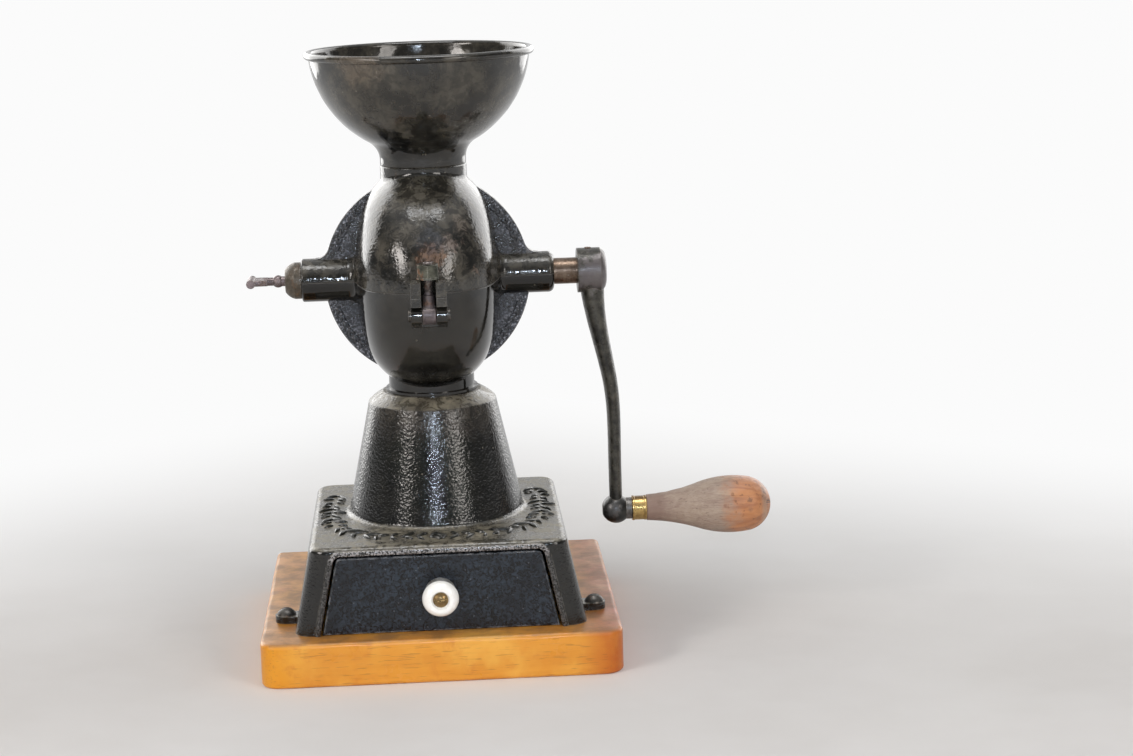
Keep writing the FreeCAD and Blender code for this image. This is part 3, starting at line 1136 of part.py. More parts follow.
def handle_spindle():
    """Pin riveted into the crank's ball, with a groove for the nail that keeps the handle on."""
    pin = Piece("handle_spindle", ("0", "0", GRIP_Z))
    end = f"({GRIP_X} + grip_pin_reach)"
    start = f"({BALL_X} - sqrt(ball_radius^2 - grip_pin_radius^2))"
    pin.drum("shank", "X", (start, "0", "0"), "grip_pin_radius", f"{end} - {start}")
    pin.drum("shoulder", "X", (f"{BALL_X} + ball_flat", "0", "0"), "ferrule_radius - ferrule_wall",
             "ball_radius - ball_flat + grip_gap - clear_gap")
    groove = pin.outline("XZ", "groove", [
        (f"{NAIL_X} - 2 * nail_radius", "grip_pin_radius - nail_groove"),
        (f"{NAIL_X} + 2 * nail_radius", "grip_pin_radius - nail_groove"),
        (f"{NAIL_X} + 2 * nail_radius", "2 * grip_pin_radius"),
        (f"{NAIL_X} - 2 * nail_radius", "2 * grip_pin_radius")])
    pin.spin("groove", groove, cut=True)


def wooden_handle():
    """Turned handle with a slim neck and a round belly, its ferrule and the nail that keeps it on its spindle."""
    grip = Piece("wooden_handle", ("0", "0", GRIP_Z))
    end = f"({GRIP_X} + grip_length)"
    bore = "(grip_pin_radius + running_fit)"
    neck = "(ferrule_radius - ferrule_wall - seat_fit)"
    bore_end = f"({GRIP_X} + grip_pin_reach + clear_gap)"
    side = grip.outline("XZ", "wood", [
        (FERRULE_X, bore), (bore_end, bore), (bore_end, "0"),
        (end, "0", "(grip_cap^2 + grip_cap_radius^2) / (2 * grip_cap)", "left"),
        (f"{end} - grip_cap", "grip_cap_radius", "grip_belly", "left"),
        (f"{GRIP_X} + grip_swell", "grip_swell_radius", "grip_hollow", "right"),
        (GRIP_X, "grip_neck"), (GRIP_X, neck), (FERRULE_X, neck)])
    grip.spin("wood", side)
    nail_z = "(grip_pin_radius - nail_groove + nail_radius + running_fit)"
    grip.drum("nail_hole", "Y", (NAIL_X, "-2 * grip_cap_radius", nail_z), "nail_radius + seat_fit",
              "4 * grip_cap_radius", cut=True)
    ring_piece = Piece("ferrule", ("0", "0", GRIP_Z))
    ring_piece.drum("tube", "X", (FERRULE_X, "0", "0"), "ferrule_radius", "ferrule_length")
    ring_piece.drum("bore", "X", (f"{FERRULE_X} - ferrule_length", "0", "0"), "ferrule_radius - ferrule_wall",
                    "3 * ferrule_length", cut=True)
    nail = Piece("handle_nail", (NAIL_X, "0", f"{GRIP_Z} + {nail_z}"))
    nail.drum("shank", "Y", ("0", "-grip_swell_radius", "0"), "nail_radius", "2 * grip_swell_radius")


# Drawer

def drawer_tray():
    """Sheet metal tray with leaning sides and a rolled hem along each side."""
    tray = Piece("drawer_tray")
    low, high = "drawer_lift", "(drawer_lift + tray_height)"
    drop = "(drawer_gap + tray_inset)"
    outer = tray.outline("XZ", "outer", [
        (f"-{mouth_half(drop, low)}", TRAY_LOW), (mouth_half(drop, low), TRAY_LOW),
        (mouth_half(drop, high), f"{TRAY_LOW} + tray_height"),
        (f"-{mouth_half(drop, high)}", f"{TRAY_LOW} + tray_height")], f"{FRONT_BACK} - tray_depth")
    tray.extrude("outer", outer, "tray_depth")
    inside = f"({drop} + tray_wall)"
    base, above = "(drawer_lift + tray_wall)", "(drawer_lift + tray_height + tray_wall)"
    inner = tray.outline("XZ", "inner", [
        (f"-{mouth_half(inside, base)}", f"board_thick + {base}"),
        (mouth_half(inside, base), f"board_thick + {base}"),
        (mouth_half(inside, above), f"board_thick + {above}"),
        (f"-{mouth_half(inside, above)}", f"board_thick + {above}")], f"{FRONT_BACK} - tray_depth + tray_wall")
    tray.extrude("inner", inner, "tray_depth - 2 * tray_wall", cut=True)
    hem = mouth_half(f"{drop} + tray_hem", high)
    for name, across in (("left_hem", f"-{hem}"), ("right_hem", hem)):
        tray.drum(name, "Y", (across, f"-{FRONT_BACK}", f"{TRAY_LOW} + tray_height"), "tray_hem", "tray_depth")
    tray.drum("screw_hole", "Y", ("0", f"-{FRONT_BACK} - tray_wall", KNOB_Z), "knob_screw_radius + seat_fit",
              "3 * tray_wall", cut=True)


def drawer_front():
    """Flat front that fills the mouth, with rounded upper corners."""
    front = Piece("drawer_front")
    low, high = "drawer_lift", "(mouth_height - drawer_gap)"
    side = front.outline("XZ", "panel", [
        (f"-{mouth_half('drawer_gap', low)}", TRAY_LOW), (mouth_half("drawer_gap", low), TRAY_LOW),
        (mouth_half("drawer_gap", high), f"board_thick + {high}"),
        (f"-{mouth_half('drawer_gap', high)}", f"board_thick + {high}")], FRONT_BACK)
    front.extrude("panel", side, "front_thick")
    middle = number(KNOB_Z)
    front.round_edges("corners", "mouth_corner - drawer_gap / 2", lambda edge: (
        edge.BoundBox.ZLength < 0.01 and edge.BoundBox.XLength < 0.01 and edge.BoundBox.ZMin > middle))
    front.round_edges("rim", "front_edge", in_plane("Y", f"-{FRONT_FACE}"))
    front.drum("screw_hole", "Y", ("0", f"-{FRONT_FACE} - front_thick", KNOB_Z), "knob_screw_radius + seat_fit",
               "3 * front_thick", cut=True)


def drawer_knob():
    """Porcelain knob with a dished face, its plate, and the screw with its washer and nut inside the drawer."""
    knob = Piece("drawer_knob", ("0", f"-{PLATE_FACE}", KNOB_Z))
    hole = "(knob_screw_radius + seat_fit)"
    side = knob.outline("YZ", "side", [
        ("0", hole), ("0", "knob_foot", "knob_waist_set", "right"),
        ("-knob_waist_set", "knob_waist", "knob_brim_set", "right"),
        ("-knob_brim_set", "knob_radius", "knob_brim", "left"),
        ("-knob_brim_set - knob_brim", "knob_radius", "knob_brim_set / 2", "left"),
        ("-knob_length", "knob_face"), ("-knob_length", "knob_dish"),
        ("knob_dish_depth - knob_length", "knob_head_radius"), ("knob_dish_depth - knob_length", hole)])
    knob.spin("side", side)
    plate = Piece("knob_plate", ("0", f"-{FRONT_FACE}", KNOB_Z))
    plate.drum("disc", "Y", ("0", "-knob_plate_thick", "0"), "knob_plate_radius", "knob_plate_thick")
    plate.drum("hole", "Y", ("0", "-2 * knob_plate_thick", "0"), hole, "3 * knob_plate_thick", cut=True)
    screw = Piece("knob_screw", ("0", f"-{PLATE_FACE} - knob_length + knob_dish_depth", KNOB_Z))
    grip = "(knob_length - knob_dish_depth + knob_plate_thick + front_thick + tray_wall)"
    head = screw.outline("YZ", "head", [
        ("0", "0"),
        ("0", "knob_head_radius", "(knob_head_radius^2 + knob_head_height^2) / (2 * knob_head_height)", "left"),
        ("-knob_head_height", "0")])
    screw.spin("head", head)
    screw.drum("shank", "Y", ("0", "-knob_head_height / 2", "0"), "knob_screw_radius",
               f"{grip} + knob_head_height / 2 + knob_washer_thick + knob_nut_height + knob_plate_thick")
    screw.block("slot", ("-knob_head_radius", "-2 * slot_depth - knob_head_height + slot_depth", "-slot_width / 2"),
                ("2 * knob_head_radius", "2 * slot_depth", "slot_width"), cut=True)
    washer = Piece("knob_washer", ("0", f"-{FRONT_BACK} + tray_wall", KNOB_Z))
    washer.drum("disc", "Y", ("0", "0", "0"), "knob_washer_radius", "knob_washer_thick")
    washer.drum("hole", "Y", ("0", "-knob_washer_thick", "0"), hole, "3 * knob_washer_thick", cut=True)
    nut = Piece("knob_nut", ("0", f"-{FRONT_BACK} + tray_wall + knob_washer_thick", KNOB_Z))
    half, corner = "(knob_nut_flats / 2)", "(knob_nut_flats / sqrt(3))"
    six = nut.outline("XZ", "six", [
        (half, f"-{corner} / 2"), (half, f"{corner} / 2"), ("0", corner), (f"-{half}", f"{corner} / 2"),
        (f"-{half}", f"-{corner} / 2"), ("0", f"-{corner}")], "-knob_nut_height")
    nut.extrude("six", six, "knob_nut_height")
    nut.drum("thread", "Y", ("0", "-knob_nut_height", "0"), hole, "3 * knob_nut_height", cut=True)


wood_board()
base_housing()
board_screws()
lower_casing()
upper_casing()
casing_bolts()
riveted_pin("hinge_pin", ("hinge_set", SHAFT), "hinge_pin_radius", "(knuckle_half + knuckle_side + 2 * clear_gap)")
riveted_pin("swing_bolt_pin", ("-clamp_set", CLAMP_Z), "clamp_pin_radius", "(fork_half_width + clear_gap)")
hopper()
swing_bolt()
clamp_nut()
spindle()
feed_worm()
burrs()
across_pin("worm_pin", WORM_PIN, "pin_radius", "(worm_core - clear_gap)")
across_pin("burr_pin", BURR_PIN, "pin_radius", "(hub_radius - clear_gap)")
thrust_pad()
adjuster_plug()
thumb_screw()
crank_arm()
across_pin("crank_pin", CRANK_PIN, "crank_pin_radius", "(boss_radius + clear_gap)")
handle_spindle()
wooden_handle()
drawer_tray()
drawer_front()
drawer_knob()

doc.recompute()
for item in doc.Objects:
    if {"Invalid", "Error"} & set(item.State):
        raise RuntimeError(f"{item.Name} failed: {item.State}")
for piece in pieces:
    if piece.Shape.isNull() or not piece.Shape.isValid() or not piece.Shape.Solids:
        raise RuntimeError(f"{piece.Label} has no valid solid")

os.makedirs("parts", exist_ok=True)
for piece in pieces:
    piece.Shape.exportStep(f"parts/{piece.Label}.step")
    print(f"{piece.Label}: {len(piece.Shape.Solids)} solid, {piece.Shape.Volume:.0f} mm3")
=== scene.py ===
"""Looks of a hand cranked coffee grinder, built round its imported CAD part.

Lengths are metres in the CAD part's own frame: the board lies on z = 0, the crank is on +X and the drawer faces -Y.
"""

import logging
import math
from dataclasses import dataclass, field
from enum import Enum
from itertools import product
from typing import Callable, Optional, Sequence, Union

import bpy
import numpy as np
from mathutils import Matrix, Vector


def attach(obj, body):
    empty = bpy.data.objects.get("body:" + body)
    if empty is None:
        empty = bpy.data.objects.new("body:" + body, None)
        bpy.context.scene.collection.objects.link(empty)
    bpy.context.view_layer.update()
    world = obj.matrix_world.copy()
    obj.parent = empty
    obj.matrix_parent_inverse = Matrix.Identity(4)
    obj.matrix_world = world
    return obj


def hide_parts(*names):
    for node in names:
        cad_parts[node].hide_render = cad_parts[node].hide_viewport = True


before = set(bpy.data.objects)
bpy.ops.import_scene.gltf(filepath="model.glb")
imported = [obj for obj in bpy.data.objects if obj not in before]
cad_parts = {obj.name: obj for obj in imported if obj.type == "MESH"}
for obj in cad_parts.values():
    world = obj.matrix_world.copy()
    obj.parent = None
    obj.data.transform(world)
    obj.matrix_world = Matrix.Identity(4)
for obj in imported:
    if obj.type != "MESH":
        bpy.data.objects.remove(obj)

MM = 0.001
SHAFT_Z = 0.214

Colour = tuple[float, float, float]
Point = tuple[float, float, float]
Socket = bpy.types.NodeSocket
Plug = Union[float, Colour, Socket]
Swell = Callable[[np.ndarray, np.ndarray, np.ndarray], np.ndarray]

LACQUER_BLACK: Colour = (0.005, 0.005, 0.0045)

log = logging.getLogger("grinder")


class Axis(Enum):
    """The line that a piece is turned about, as the order of its along, across and up columns."""

    X = (0, 1, 2)
    Z = (2, 0, 1)


class Body(Enum):
    """The moving bodies that new pieces ride on."""

    BASE = "base"
    CLAMP_BOLT = "clamp_bolt"
    HANDLE = "handle"


# ---------------------------------------------------------------- shader graphs


class Graph:
    """Lays shader nodes in one tree and links them."""

    def __init__(self, tree: bpy.types.NodeTree) -> None:
        """Takes the tree to lay nodes in."""
        self.tree = tree

    @classmethod
    def fresh(cls, owner: Union[bpy.types.Material, bpy.types.World]) -> "Graph":
        """Empties the tree of a material or a world and takes it.

        Args:
            owner: the material or the world.

        Returns:
            The graph of its tree.
        """
        owner.use_nodes = True
        owner.node_tree.nodes.clear()
        return cls(owner.node_tree)

    def node(self, kind: str, inputs: Optional[dict] = None, **settings: object) -> bpy.types.Node:
        """Adds one node.

        Args:
            kind: the node's type name.
            inputs: values or sockets for its inputs, by name or number.
            settings: properties of the node.

        Returns:
            The node.
        """
        made = self.tree.nodes.new(kind)
        for name, value in settings.items():
            setattr(made, name, value)
        for name, value in (inputs or {}).items():
            socket = made.inputs[name]
            if isinstance(value, Socket):
                self.tree.links.new(value, socket)
            else:
                socket.default_value = (*value, 1.0) if socket.type == "RGBA" else value
        return made

    def math(self, operation: str, first: Plug, second: Plug = 0.0, clamp: bool = False) -> Socket:
        """Works out one sum of two numbers.

        Args:
            operation: the Math node's operation.
            first: first number.
            second: second number.
            clamp: whether the result is kept from 0 to 1.

        Returns:
            The result's socket.
        """
        return self.node("ShaderNodeMath", {0: first, 1: second}, operation=operation, use_clamp=clamp).outputs[0]

    def times(self, *factors: Plug) -> Socket:
        """Multiplies numbers, from the first on.

        Args:
            factors: the numbers or sockets.

        Returns:
            The product's socket.
        """
        result, *others = factors
        for factor in others:
            result = self.math("MULTIPLY", result, factor)
        return result

    def swing(self, value: Plug, amount: Plug) -> Socket:
        """Gives (value - 0.5) * amount, so that a noise swings about zero."""
        return self.times(self.math("SUBTRACT", value, 0.5), amount)

    def measure(self, operation: str, first: Plug, second: Plug = (0.0, 0.0, 0.0)) -> Socket:
        """Gives the length, distance or dot product of vectors, as the Vector Math node's operation says."""
        return self.node("ShaderNodeVectorMath", {0: first, 1: second}, operation=operation).outputs["Value"]

    def noise(self, where: Plug, scale: Plug, detail: float = 2.0, rough: float = 0.5, bend: float = 0.0) -> Socket:
        """Adds a noise pattern.

        Args:
            where: place that it is read at.
            scale: cells per metre.
            detail: octaves.
            rough: share of the finer octaves.
            bend: distortion.

        Returns:
            The socket of its value, about 0.3 to 0.7.
        """
        return self.node("ShaderNodeTexNoise", {
            "Vector": where, "Scale": scale, "Detail": detail, "Roughness": rough, "Distortion": bend}).outputs[0]

    def step(self, value: Plug, low: Plug, high: Plug, start: Plug = 0.0, end: Plug = 1.0) -> Socket:
        """Turns a value into a smooth step.

        Args:
            value: the value.
            low: value at which the step starts.
            high: value at which it ends.
            start: result at low.
            end: result at high.

        Returns:
            The result's socket.
        """
        return self.node("ShaderNodeMapRange", {
            "Value": value, "From Min": low, "From Max": high, "To Min": start, "To Max": end},
            interpolation_type="SMOOTHSTEP").outputs[0]

    def blend(self, share: Plug, first: Plug, second: Plug) -> Socket:
        """Mixes two colours by the share of the second."""
        return self.node("ShaderNodeMix", {0: share, 6: first, 7: second}, data_type="RGBA").outputs[2]

    def level(self, share: Plug, first: Plug, second: Plug) -> Socket:
        """Mixes two numbers by the share of the second."""
        return self.node("ShaderNodeMix", {0: share, 2: first, 3: second}, data_type="FLOAT").outputs[0]

    def place(self) -> Socket:
        """Gives the place on the object, in metres."""
        return self.node("ShaderNodeTexCoord").outputs["Object"]

    def part(self, where: Plug, letter: str) -> Socket:
        """Gives one coordinate of a place."""
        return self.node("ShaderNodeSeparateXYZ", {0: where}).outputs[letter]

    def mapped(self, where: Plug, shift: Point = (0, 0, 0), scale: Point = (1, 1, 1)) -> Socket:
        """Stretches a place along each axis and then shifts it."""
        return self.node("ShaderNodeMapping", {"Vector": where, "Location": shift, "Scale": scale}).outputs[0]

    def bump(self, height: Plug, depth: float) -> Socket:
        """Turns a height pattern into a normal; depth is the metres that a height of 1 stands for."""
        return self.node("ShaderNodeBump", {"Height": height, "Strength": 1.0, "Distance": depth}).outputs[0]


@dataclass
class Effect:
    """A shader node group with named inputs and outputs, built once and placed in many materials.

    wire lays its nodes and gives its outputs' sockets by name. tree is the group, once it has been placed.
    """

    name: str
    inputs: tuple[str, ...]
    outputs: tuple[str, ...]
    wire: Callable[[Graph, dict], dict]
    tree: Optional[bpy.types.NodeTree] = None

    def build(self) -> bpy.types.NodeTree:
        """Builds the group's tree. Where and Centre are places, and all other inputs and outputs are numbers.

        Returns:
            The tree.
        """
        tree = bpy.data.node_groups.new(self.name, "ShaderNodeTree")
        for way, names in (("INPUT", self.inputs), ("OUTPUT", self.outputs)):
            for name in names:
                kind = "NodeSocketVector" if name in ("Where", "Centre") else "NodeSocketFloat"
                tree.interface.new_socket(name=name, in_out=way, socket_type=kind)
        graph = Graph(tree)
        start = graph.node("NodeGroupInput")
        graph.node("NodeGroupOutput", self.wire(graph, {name: start.outputs[name] for name in self.inputs}))
        return tree

    def put(self, graph: Graph, **values: Plug) -> dict[str, Socket]:
        """Places the group in a graph.

        Args:
            graph: the graph.
            values: the inputs' values or sockets.

        Returns:
            The outputs' sockets by name.
        """
        if self.tree is None:
            self.tree = self.build()
        made = graph.node("ShaderNodeGroup", values, node_tree=self.tree)
        return {name: made.outputs[name] for name in self.outputs}


def wire_cast_skin(graph: Graph, given: dict) -> dict:
    """Skin of lacquered iron: fine ripples like orange peel over a slow wave.

    Args:
        graph: the group's graph.
        given: Where, Grain and Swell in cells per metre, and Share of the slow wave.

    Returns:
        Height.
    """
    fine = graph.noise(given["Where"], given["Grain"], 1.5, 0.45)
    slow = graph.noise(given["Where"], given["Swell"], 1.0, 0.4)
    return {"Height": graph.math("ADD", fine, graph.times(slow, given["Share"]))}


def wire_rust(graph: Graph, given: dict) -> dict:
    """Rust that breaks through in ragged blooms, where a noise is above 0.74 - 0.42 * Amount.

    Args:
        graph: the group's graph.
        given: Where, Size in cells per metre and Amount from 0 to 1.

    Returns:
        Mask, Tone from dark to light, and Height.
    """
    bloom = graph.noise(given["Where"], given["Size"], 7.0, 0.68, 0.4)
    low = graph.math("SUBTRACT", 0.74, graph.times(given["Amount"], 0.42))
    mask = graph.step(bloom, low, graph.math("ADD", low, 0.09))
    tone = graph.noise(given["Where"], graph.times(given["Size"], 6.0), 4.0, 0.7)
    return {"Mask": mask, "Tone": graph.step(tone, 0.3, 0.7), "Height": graph.times(mask, graph.math("ADD", tone, 0.3))}


def wire_patch(graph: Graph, given: dict) -> dict:
    """One ragged patch round a place: full within 0.6 of its reach and gone beyond 1.15 of it, give or take a noise.

    Args:
        graph: the group's graph.
        given: Where, Centre, Reach in metres and Ragged, how torn its edge is.

    Returns:
        Mask.
    """
    share = graph.math("DIVIDE", graph.measure("DISTANCE", given["Where"], given["Centre"]), given["Reach"])
    torn = graph.noise(given["Where"], graph.math("DIVIDE", 2.6, given["Reach"]), 5.0, 0.65)
    return {"Mask": graph.step(graph.math("ADD", share, graph.swing(torn, given["Ragged"])), 1.15, 0.6)}


def wire_dust(graph: Graph, given: dict) -> dict:
    """Dust and dried oil that settle on faces that look up.

    Args:
        graph: the group's graph.
        given: Where and Amount.

    Returns:
        Mask.
    """
    up = graph.part(graph.node("ShaderNodeTexCoord").outputs["Normal"], "Z")
    cloud = graph.step(graph.noise(given["Where"], 70.0, 5.0, 0.6), 0.32, 0.68, 0.3, 1.0)
    return {"Mask": graph.times(graph.step(up, 0.35, 0.97), cloud, given["Amount"])}


def wire_worn_edge(graph: Graph, given: dict) -> dict:
    """Edges where handling has rubbed the finish: where the rounded normal parts from the face's own.

    Args:
        graph: the group's graph.
        given: Where, Reach in metres and Amount.

    Returns:
        Mask.
    """
    rounded = graph.node("ShaderNodeBevel", {"Radius": given["Reach"]}, samples=4).outputs[0]
    plain = graph.node("ShaderNodeNewGeometry").outputs["Normal"]
    parted = graph.step(graph.measure("DOT_PRODUCT", rounded, plain), 0.995, 0.93)
    torn = graph.step(graph.noise(given["Where"], 260.0, 4.0, 0.65), 0.36, 0.62)
    return {"Mask": graph.math("MULTIPLY", graph.times(parted, torn), given["Amount"], clamp=True)}


def wire_specks(graph: Graph, given: dict) -> dict:
    """Small round specks scattered at random.

    Args:
        graph: the group's graph.
        given: Where, Size in cells per metre and Share of the cells that hold one.

    Returns:
        Mask.
    """
    cells = graph.node("ShaderNodeTexVoronoi", {"Vector": given["Where"], "Scale": given["Size"], "Randomness": 1.0})
    there = graph.math("LESS_THAN", graph.part(cells.outputs["Color"], "X"), given["Share"])
    return {"Mask": graph.times(graph.step(cells.outputs["Distance"], 0.42, 0.18), there)}


def wire_turned(graph: Graph, given: dict) -> dict:
    """Turning marks: fine rings across the x axis.

    Args:
        graph: the group's graph.
        given: Where and Pitch in marks per metre.

    Returns:
        Height.
    """
    return {"Height": graph.noise(graph.mapped(given["Where"], scale=(1.0, 0.03, 0.03)), given["Pitch"], 3.0, 0.6)}


def wire_wood(graph: Graph, given: dict) -> dict:
    """Wood whose fibres run along x: growth rings cut lengthwise, fine fibres and open pores.

    Args:
        graph: the group's graph.
        given: Where, Rings and Fibres in cells per metre across the grain.

    Returns:
        Ring and Fibre tones, Pore mask and Height.
    """
    for_rings, for_fibres, for_pores = (
        graph.mapped(given["Where"], scale=(along, 1.0, 1.0)) for along in (0.12, 0.045, 0.07))
    rings = graph.noise(for_rings, given["Rings"], 3.0, 0.55, 1.4)
    fibres = graph.noise(for_fibres, given["Fibres"], 3.0, 0.6)
    pore = graph.step(graph.noise(for_pores, graph.times(given["Fibres"], 1.7), 1.0, 0.5), 0.62, 0.72)
    return {"Ring": graph.step(rings, 0.3, 0.7), "Fibre": graph.step(fibres, 0.3, 0.7), "Pore": pore,
            "Height": graph.math("SUBTRACT", fibres, graph.times(pore, 0.6))}


CAST_SKIN = Effect("cast skin", ("Where", "Grain", "Swell", "Share"), ("Height",), wire_cast_skin)
RUST = Effect("rust bloom", ("Where", "Size", "Amount"), ("Mask", "Tone", "Height"), wire_rust)
PATCH = Effect("ragged patch", ("Where", "Centre", "Reach", "Ragged"), ("Mask",), wire_patch)
DUST = Effect("settled dust", ("Where", "Amount"), ("Mask",), wire_dust)
WORN_EDGE = Effect("worn edge", ("Where", "Reach", "Amount"), ("Mask",), wire_worn_edge)
SPECKS = Effect("specks", ("Where", "Size", "Share"), ("Mask",), wire_specks)
TURNED = Effect("turning marks", ("Where", "Pitch"), ("Height",), wire_turned)
WOOD = Effect("wood", ("Where", "Rings", "Fibres"), ("Ring", "Fibre", "Pore", "Height"), wire_wood)


# ---------------------------------------------------------------- finishes


@dataclass(frozen=True)
class Patch:
    """A patch of another tone at one place.

    centre and reach are metres, rough is its roughness, share how much of it shows and ragged how torn its edge is.
    """

    centre: Point
    reach: float
    colour: Colour
    rough: float = 0.5
    share: float = 1.0
    ragged: float = 1.6


class Coat:
    """Colour, roughness and height that a finish has laid so far."""

    def __init__(self, graph: Graph, where: Socket, colour: Plug, rough: Plug = 0.5, height: Plug = 0.0) -> None:
        """Starts with the ground.

        Args:
            graph: the material's graph.
            where: place on the object.
            colour: colour of the ground.
            rough: its roughness.
            height: its height.
        """
        self.graph, self.where, self.colour, self.rough, self.height = graph, where, colour, rough, height

    def read(self, effect: Effect, **values: Plug) -> Socket:
        """Places an effect and gives its first output."""
        return effect.put(self.graph, Where=self.where, **values)[effect.outputs[0]]

    def cover(self, mask: Plug, colour: Plug, share: float = 1.0, rough: Optional[float] = None) -> None:
        """Lays another tone where a mask says so.

        Args:
            mask: where it lies.
            colour: its colour.
            share: how much its colour covers within the mask.
            rough: its roughness, which covers all of the mask; left out, the roughness stays as it is.
        """
        self.colour = self.graph.blend(mask if share == 1.0 else self.graph.times(mask, share), self.colour, colour)
        if rough is not None:
            self.rough = self.graph.level(mask, self.rough, rough)

    def lift(self, pattern: Plug, depth: float) -> None:
        """Raises the height by a pattern times a depth, or lowers it where the depth is below 0."""
        self.height = self.graph.math("ADD", self.height, self.graph.times(pattern, depth))

    def patch(self, patches: Sequence[Patch]) -> None:
        """Lays patches, each over the ones before it.

        Args:
            patches: the patches, in the order that they are laid.
        """
        for patch in patches:
            mask = self.read(PATCH, Centre=patch.centre, Reach=patch.reach, Ragged=patch.ragged)
            self.cover(self.graph.times(mask, patch.share), patch.colour, rough=patch.rough)

    def corrode(self, size: float, amount: float, tones: tuple[Colour, Colour], share: float, rough: float,
                depth: float) -> Socket:
        """Lets rust break through.

        Args:
            size: cells per metre.
            amount: amount of rust from 0 to 1.
            tones: its darkest and its lightest colour.
            share: how much its colour covers.
            rough: its roughness.
            depth: metres that it stands out.

        Returns:
            The rust's mask.
        """
        rust = RUST.put(self.graph, Where=self.where, Size=size, Amount=amount)
        self.cover(rust["Mask"], self.graph.blend(rust["Tone"], *tones), share, rough)
        self.lift(rust["Height"], depth)
        return rust["Mask"]


@dataclass(frozen=True)
class Finish:
    """A material; each kind of finish lays its own colour, roughness and normal."""

    name: str

    def lay(self, graph: Graph, where: Socket) -> dict:
        """Lays the finish's nodes.

        Args:
            graph: the material's graph.
            where: place on the object.

        Returns:
            Inputs of the Principled shader by name.
        """
        raise NotImplementedError

    def material(self) -> bpy.types.Material:
        """Makes the material.

        Returns:
            The material.
        """
        made = bpy.data.materials.new(self.name)
        graph = Graph.fresh(made)
        shader = graph.node("ShaderNodeBsdfPrincipled", self.lay(graph, graph.place()))
        graph.node("ShaderNodeOutputMaterial", {"Surface": shader.outputs[0]})
        return made


